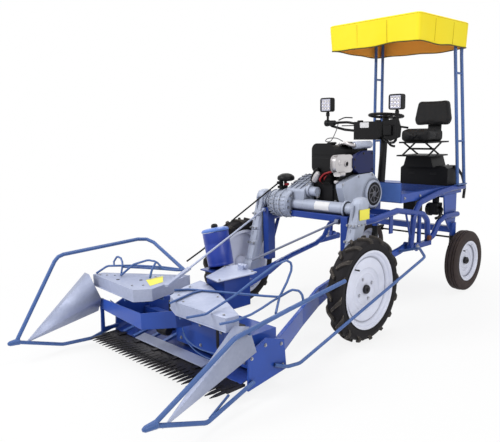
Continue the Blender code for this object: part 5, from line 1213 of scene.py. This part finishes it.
def gather():
    """Under the trays: lugged chains round their sprockets, guide springs and the dark drive shafts."""
    sprockets, links = [], []
    for centre, reach, turn in (((-0.300, -1.050), 0.300, 0.25), ((0.220, -1.030), 0.280, -0.10)):
        c, s = math.cos(turn), math.sin(turn)
        far = (centre[0] - reach * c * (1 if centre[0] < 0 else -1), centre[1] - reach * s * 0.3)
        for spot in (centre, far):
            sprockets.append(revolve([(0.322, 0.012), (0.322, 0.040), (0.330, 0.046), (0.338, 0.040),
                                      (0.338, 0.012)], 2, (spot[0], spot[1], 0), 24, closed=True))
        line = np.array([centre, far])
        along = (line[1] - line[0]) / np.linalg.norm(line[1] - line[0])
        across = np.array([-along[1], along[0]])
        for sign in (1, -1):
            run = line + across * 0.044 * sign
            t = np.linspace(0, 1, 15)[:, None]
            for spot in run[0] + (run[1] - run[0]) * t:
                links.append(slab((spot[0] - 0.009, spot[1] - 0.006, 0.324),
                                  (spot[0] + 0.009, spot[1] + 0.006, 0.336)))
        for spot in (line[0] + (line[1] - line[0]) * np.linspace(0.1, 0.9, 4)[:, None] - across * 0.05):
            tooth = smooth_line([(spot[0], spot[1], 0.330),
                                 (spot[0] - across[0] * 0.045, spot[1] - across[1] * 0.045, 0.330)], 3)
            links.append(pipe(tooth, np.linspace(0.007, 0.003, len(tooth)), 6))
    piece("gathering_chains", "header", "cutter_steel", sprockets + links, bevel=0.001, segments=1)
    paths = (
        [(-0.540, -1.170, 0.300), (-0.430, -1.150, 0.262), (-0.300, -1.140, 0.252), (-0.160, -1.120, 0.262)],
        [(0.060, -1.060, 0.250), (0.180, -1.120, 0.215), (0.330, -1.150, 0.205), (0.470, -1.140, 0.210)],
        [(0.050, -1.050, 0.200), (0.190, -1.100, 0.168), (0.350, -1.130, 0.160), (0.520, -1.120, 0.165)])
    piece("guide_springs", "header", "steel_blue_paint", [rod(path, 0.0032, 8) for path in paths])
    drums = [revolve([(-0.050, 0.001), (-0.050, 0.026), (-0.030, 0.032), (0.030, 0.032), (0.050, 0.026),
                      (0.050, 0.001)], 0, (-0.120, -1.060, 0.180), 28),
             drum(0.120, 0.300, 0.020, 2, (-0.245, -0.905, 0), 20),
             drum(0.170, 0.446, 0.016, 2, (0.330, -1.010, 0), 20)]
    piece("drive_drums", "header", "cutter_steel", drums)
    ribs = []
    for x in (-0.520, -0.400, -0.280, -0.160):
        ribs.append(slice_of([(-1.095, 0.0765), (-1.095, 0.083), (-0.875, 0.1250), (-0.875, 0.116)], 0,
                             x - 0.014, x + 0.014))
    piece("deck_runners", "header", "deck_blue", ribs, bevel=0.001)
    edge = [(-1.112, 0.0765), (-1.112, 0.0815), (-1.040, 0.0950), (-1.040, 0.0880)]
    piece("deck_wear_strip", "header", "galvanised_sheet", [slice_of(edge, 0, -0.360, 0.300)], bevel=0.001)


def divider(side, tip, back):
    """Folded sheet point: flat faces run from a small nose to the corners of its open back."""
    tip, back = np.array(tip), np.array(back)
    nose = tip + (back - tip) * 0.012
    count = len(back)
    points = np.concatenate([nose, back])
    faces = [np.arange(count)[None, ::-1], strip_faces(2, count, round_columns=True)]
    if volume(points - points.mean(0), faces) < 0:
        faces = [f[:, ::-1] for f in faces]
    label = LABEL[side]
    made = piece(f"divider_sheet_{label}", "header", "galvanised_sheet", [(points, faces)],
                 (f"divider_cone_{label}",), sharp=3)
    wall = made.modifiers.new("wall", "SOLIDIFY")
    wall.thickness, wall.offset = 0.0020, -1


def comb():
    """Spring fingers stand between the blades; hold-down clips and rivets sit along the bar."""
    x = (np.arange(BLADES - 1) - (BLADES - 2) / 2) * CUT_WIDTH / BLADES
    rings = np.array([[-1.165, 0.0048, 0.0705, 0.0750], [-1.215, 0.0040, 0.0700, 0.0745],
                      [-1.262, 0.0016, 0.0660, 0.0690]])
    fingers = []
    for at in x:
        section = np.stack([np.stack([at + rings[:, 1] * sx, rings[:, 0],
                                      np.where(top, rings[:, 3], rings[:, 2])], -1)
                            for sx, top in ((-1, False), (1, False), (1, True), (-1, True))], 1)
        fingers.append(loft(section))
    clips = [slab((at - 0.016, -1.150, 0.0738), (at + 0.016, -1.092, 0.0790)) for at in x[2::5]]
    piece("comb_fingers", "header", "cutter_steel", fingers + clips, bevel=0.0006, segments=1)
    rivets = [(at, y, 0.0738) for at in x[::2] for y in (-1.140, -1.105)]
    piece("comb_rivets", "header", "bolt_dark", [bolts(rivets, (0, 0, 1), 0.0045, 0.003, False)])


def twine_can():
    """The can leans across the machine: its outline is revolved upright and then turned about its foot."""
    lean = math.radians(13)
    foot = np.array((-0.264, -0.466, 0.4283 + 0.080 * math.sin(lean)))
    c, s = math.cos(lean), math.sin(lean)

    def lay(shape):
        points, faces = shape
        p = points - foot
        return np.stack([p[:, 0] * c - p[:, 2] * s, p[:, 1], p[:, 0] * s + p[:, 2] * c], -1) + foot, faces

    body = [(0.0, 0.001), (0.0, 0.080), (0.002, 0.085), (0.008, 0.088), (0.014, 0.0885), (0.018, 0.087),
            (0.024, 0.0885), (0.150, 0.0892), (0.154, 0.0875), (0.160, 0.0892), (0.232, 0.0895),
            (0.234, 0.001)]
    lid = [(0.2345, 0.001), (0.2345, 0.0925), (0.237, 0.094), (0.247, 0.094), (0.250, 0.091), (0.256, 0.087),
           (0.262, 0.060), (0.264, 0.001)]
    piece("twine_can_body", "header", "can_blue", [lay(revolve(body, 2, foot, 64))], ("twine_can",))
    piece("twine_can_lid", "header", "deck_blue", [lay(revolve(lid, 2, foot, 64))])
    knob = [(0.262, 0.001), (0.262, 0.022), (0.272, 0.024), (0.284, 0.020), (0.289, 0.012), (0.290, 0.001)]
    piece("twine_can_knob", "header", "black_paint", [lay(revolve(knob, 2, foot, 32))])


# Surroundings


FLOOR_HALF = 14.0
# name: place, size, power
LAMPS = {"key": ((-2.2, -5.0, 4.6), 2.5, 260.0), "fill": ((5.2, -1.0, 3.2), 3.0, 105.0),
         "top": ((0.5, 1.5, 6.0), 3.0, 110.0), "back": ((-4.5, 3.5, 3.5), 2.5, 40.0)}
LAMPS_AIM = Vector((0, 0.1, 0.7))


def seen_rays(tree):
    """One where a camera, glossy or transmission ray looks: a white ground shows but lights nothing."""
    rays = tree.add("ShaderNodeLightPath").outputs
    return tree.maths("MAXIMUM", rays["Is Camera Ray"],
                      tree.maths("MAXIMUM", rays["Is Glossy Ray"], rays["Is Transmission Ray"]))


def floor_and_light():
    """The floor keeps the machine's shadow near it and fades to white with the distance from its middle."""
    scene = bpy.context.scene
    scene.view_settings.view_transform = "Standard"
    half = FLOOR_HALF
    mesh = bpy.data.meshes.new("floor")
    level = cad_low[2] - 0.0005
    mesh.from_pydata([(-half, -half, level), (half, -half, level), (half, half, level), (-half, half, level)],
                     [], [(0, 1, 2, 3)])
    floor = bpy.data.objects.new("floor", mesh)
    scene.collection.objects.link(floor)
    material = bpy.data.materials.new("pale floor")
    material.use_nodes = True
    t = Tree(material.node_tree)
    nodes = material.node_tree.nodes
    nodes.clear()
    out = t.add("ShaderNodeOutputMaterial")
    diffuse = t.add("ShaderNodeBsdfDiffuse")
    diffuse.inputs["Color"].default_value = (0.80, 0.80, 0.80, 1)
    glow = t.add("ShaderNodeEmission")
    glow.inputs["Color"].default_value = WHITE
    glow.inputs["Strength"].default_value = 1.0
    where = t.add("ShaderNodeTexCoord").outputs["Object"]
    reach = t.vector("LENGTH", where)
    share = t.maths("MULTIPLY", t.span(reach, 1.2, 3.2, 0.84, 1.0), seen_rays(t))
    blend = t.add("ShaderNodeMixShader")
    t.link(share, blend.inputs[0])
    t.link(diffuse.outputs[0], blend.inputs[1])
    t.link(glow.outputs[0], blend.inputs[2])
    t.link(blend.outputs[0], out.inputs["Surface"])
    mesh.materials.append(material)
    world = bpy.data.worlds.new("studio")
    scene.world = world
    world.use_nodes = True
    w = Tree(world.node_tree)
    world.node_tree.nodes.clear()
    end = w.add("ShaderNodeOutputWorld")
    back = w.add("ShaderNodeBackground")
    back.inputs["Color"].default_value = WHITE
    w.link(w.span(seen_rays(w), 0.0, 1.0, 0.46, 1.0), back.inputs["Strength"])
    w.link(back.outputs[0], end.inputs["Surface"])
    for name, (place, size, power) in LAMPS.items():
        data = bpy.data.lights.new(name, "AREA")
        data.energy, data.size = power, size
        lamp = bpy.data.objects.new(name, data)
        scene.collection.objects.link(lamp)
        lamp.location = place
        lamp.rotation_euler = (LAMPS_AIM - Vector(place)).to_track_quat("-Z", "Y").to_euler()


place_camera()
wheels()
canopy_cloth()
seat_pads()
engine()
transmission()
station()
platform()
header()
twine_can()
floor_and_light()
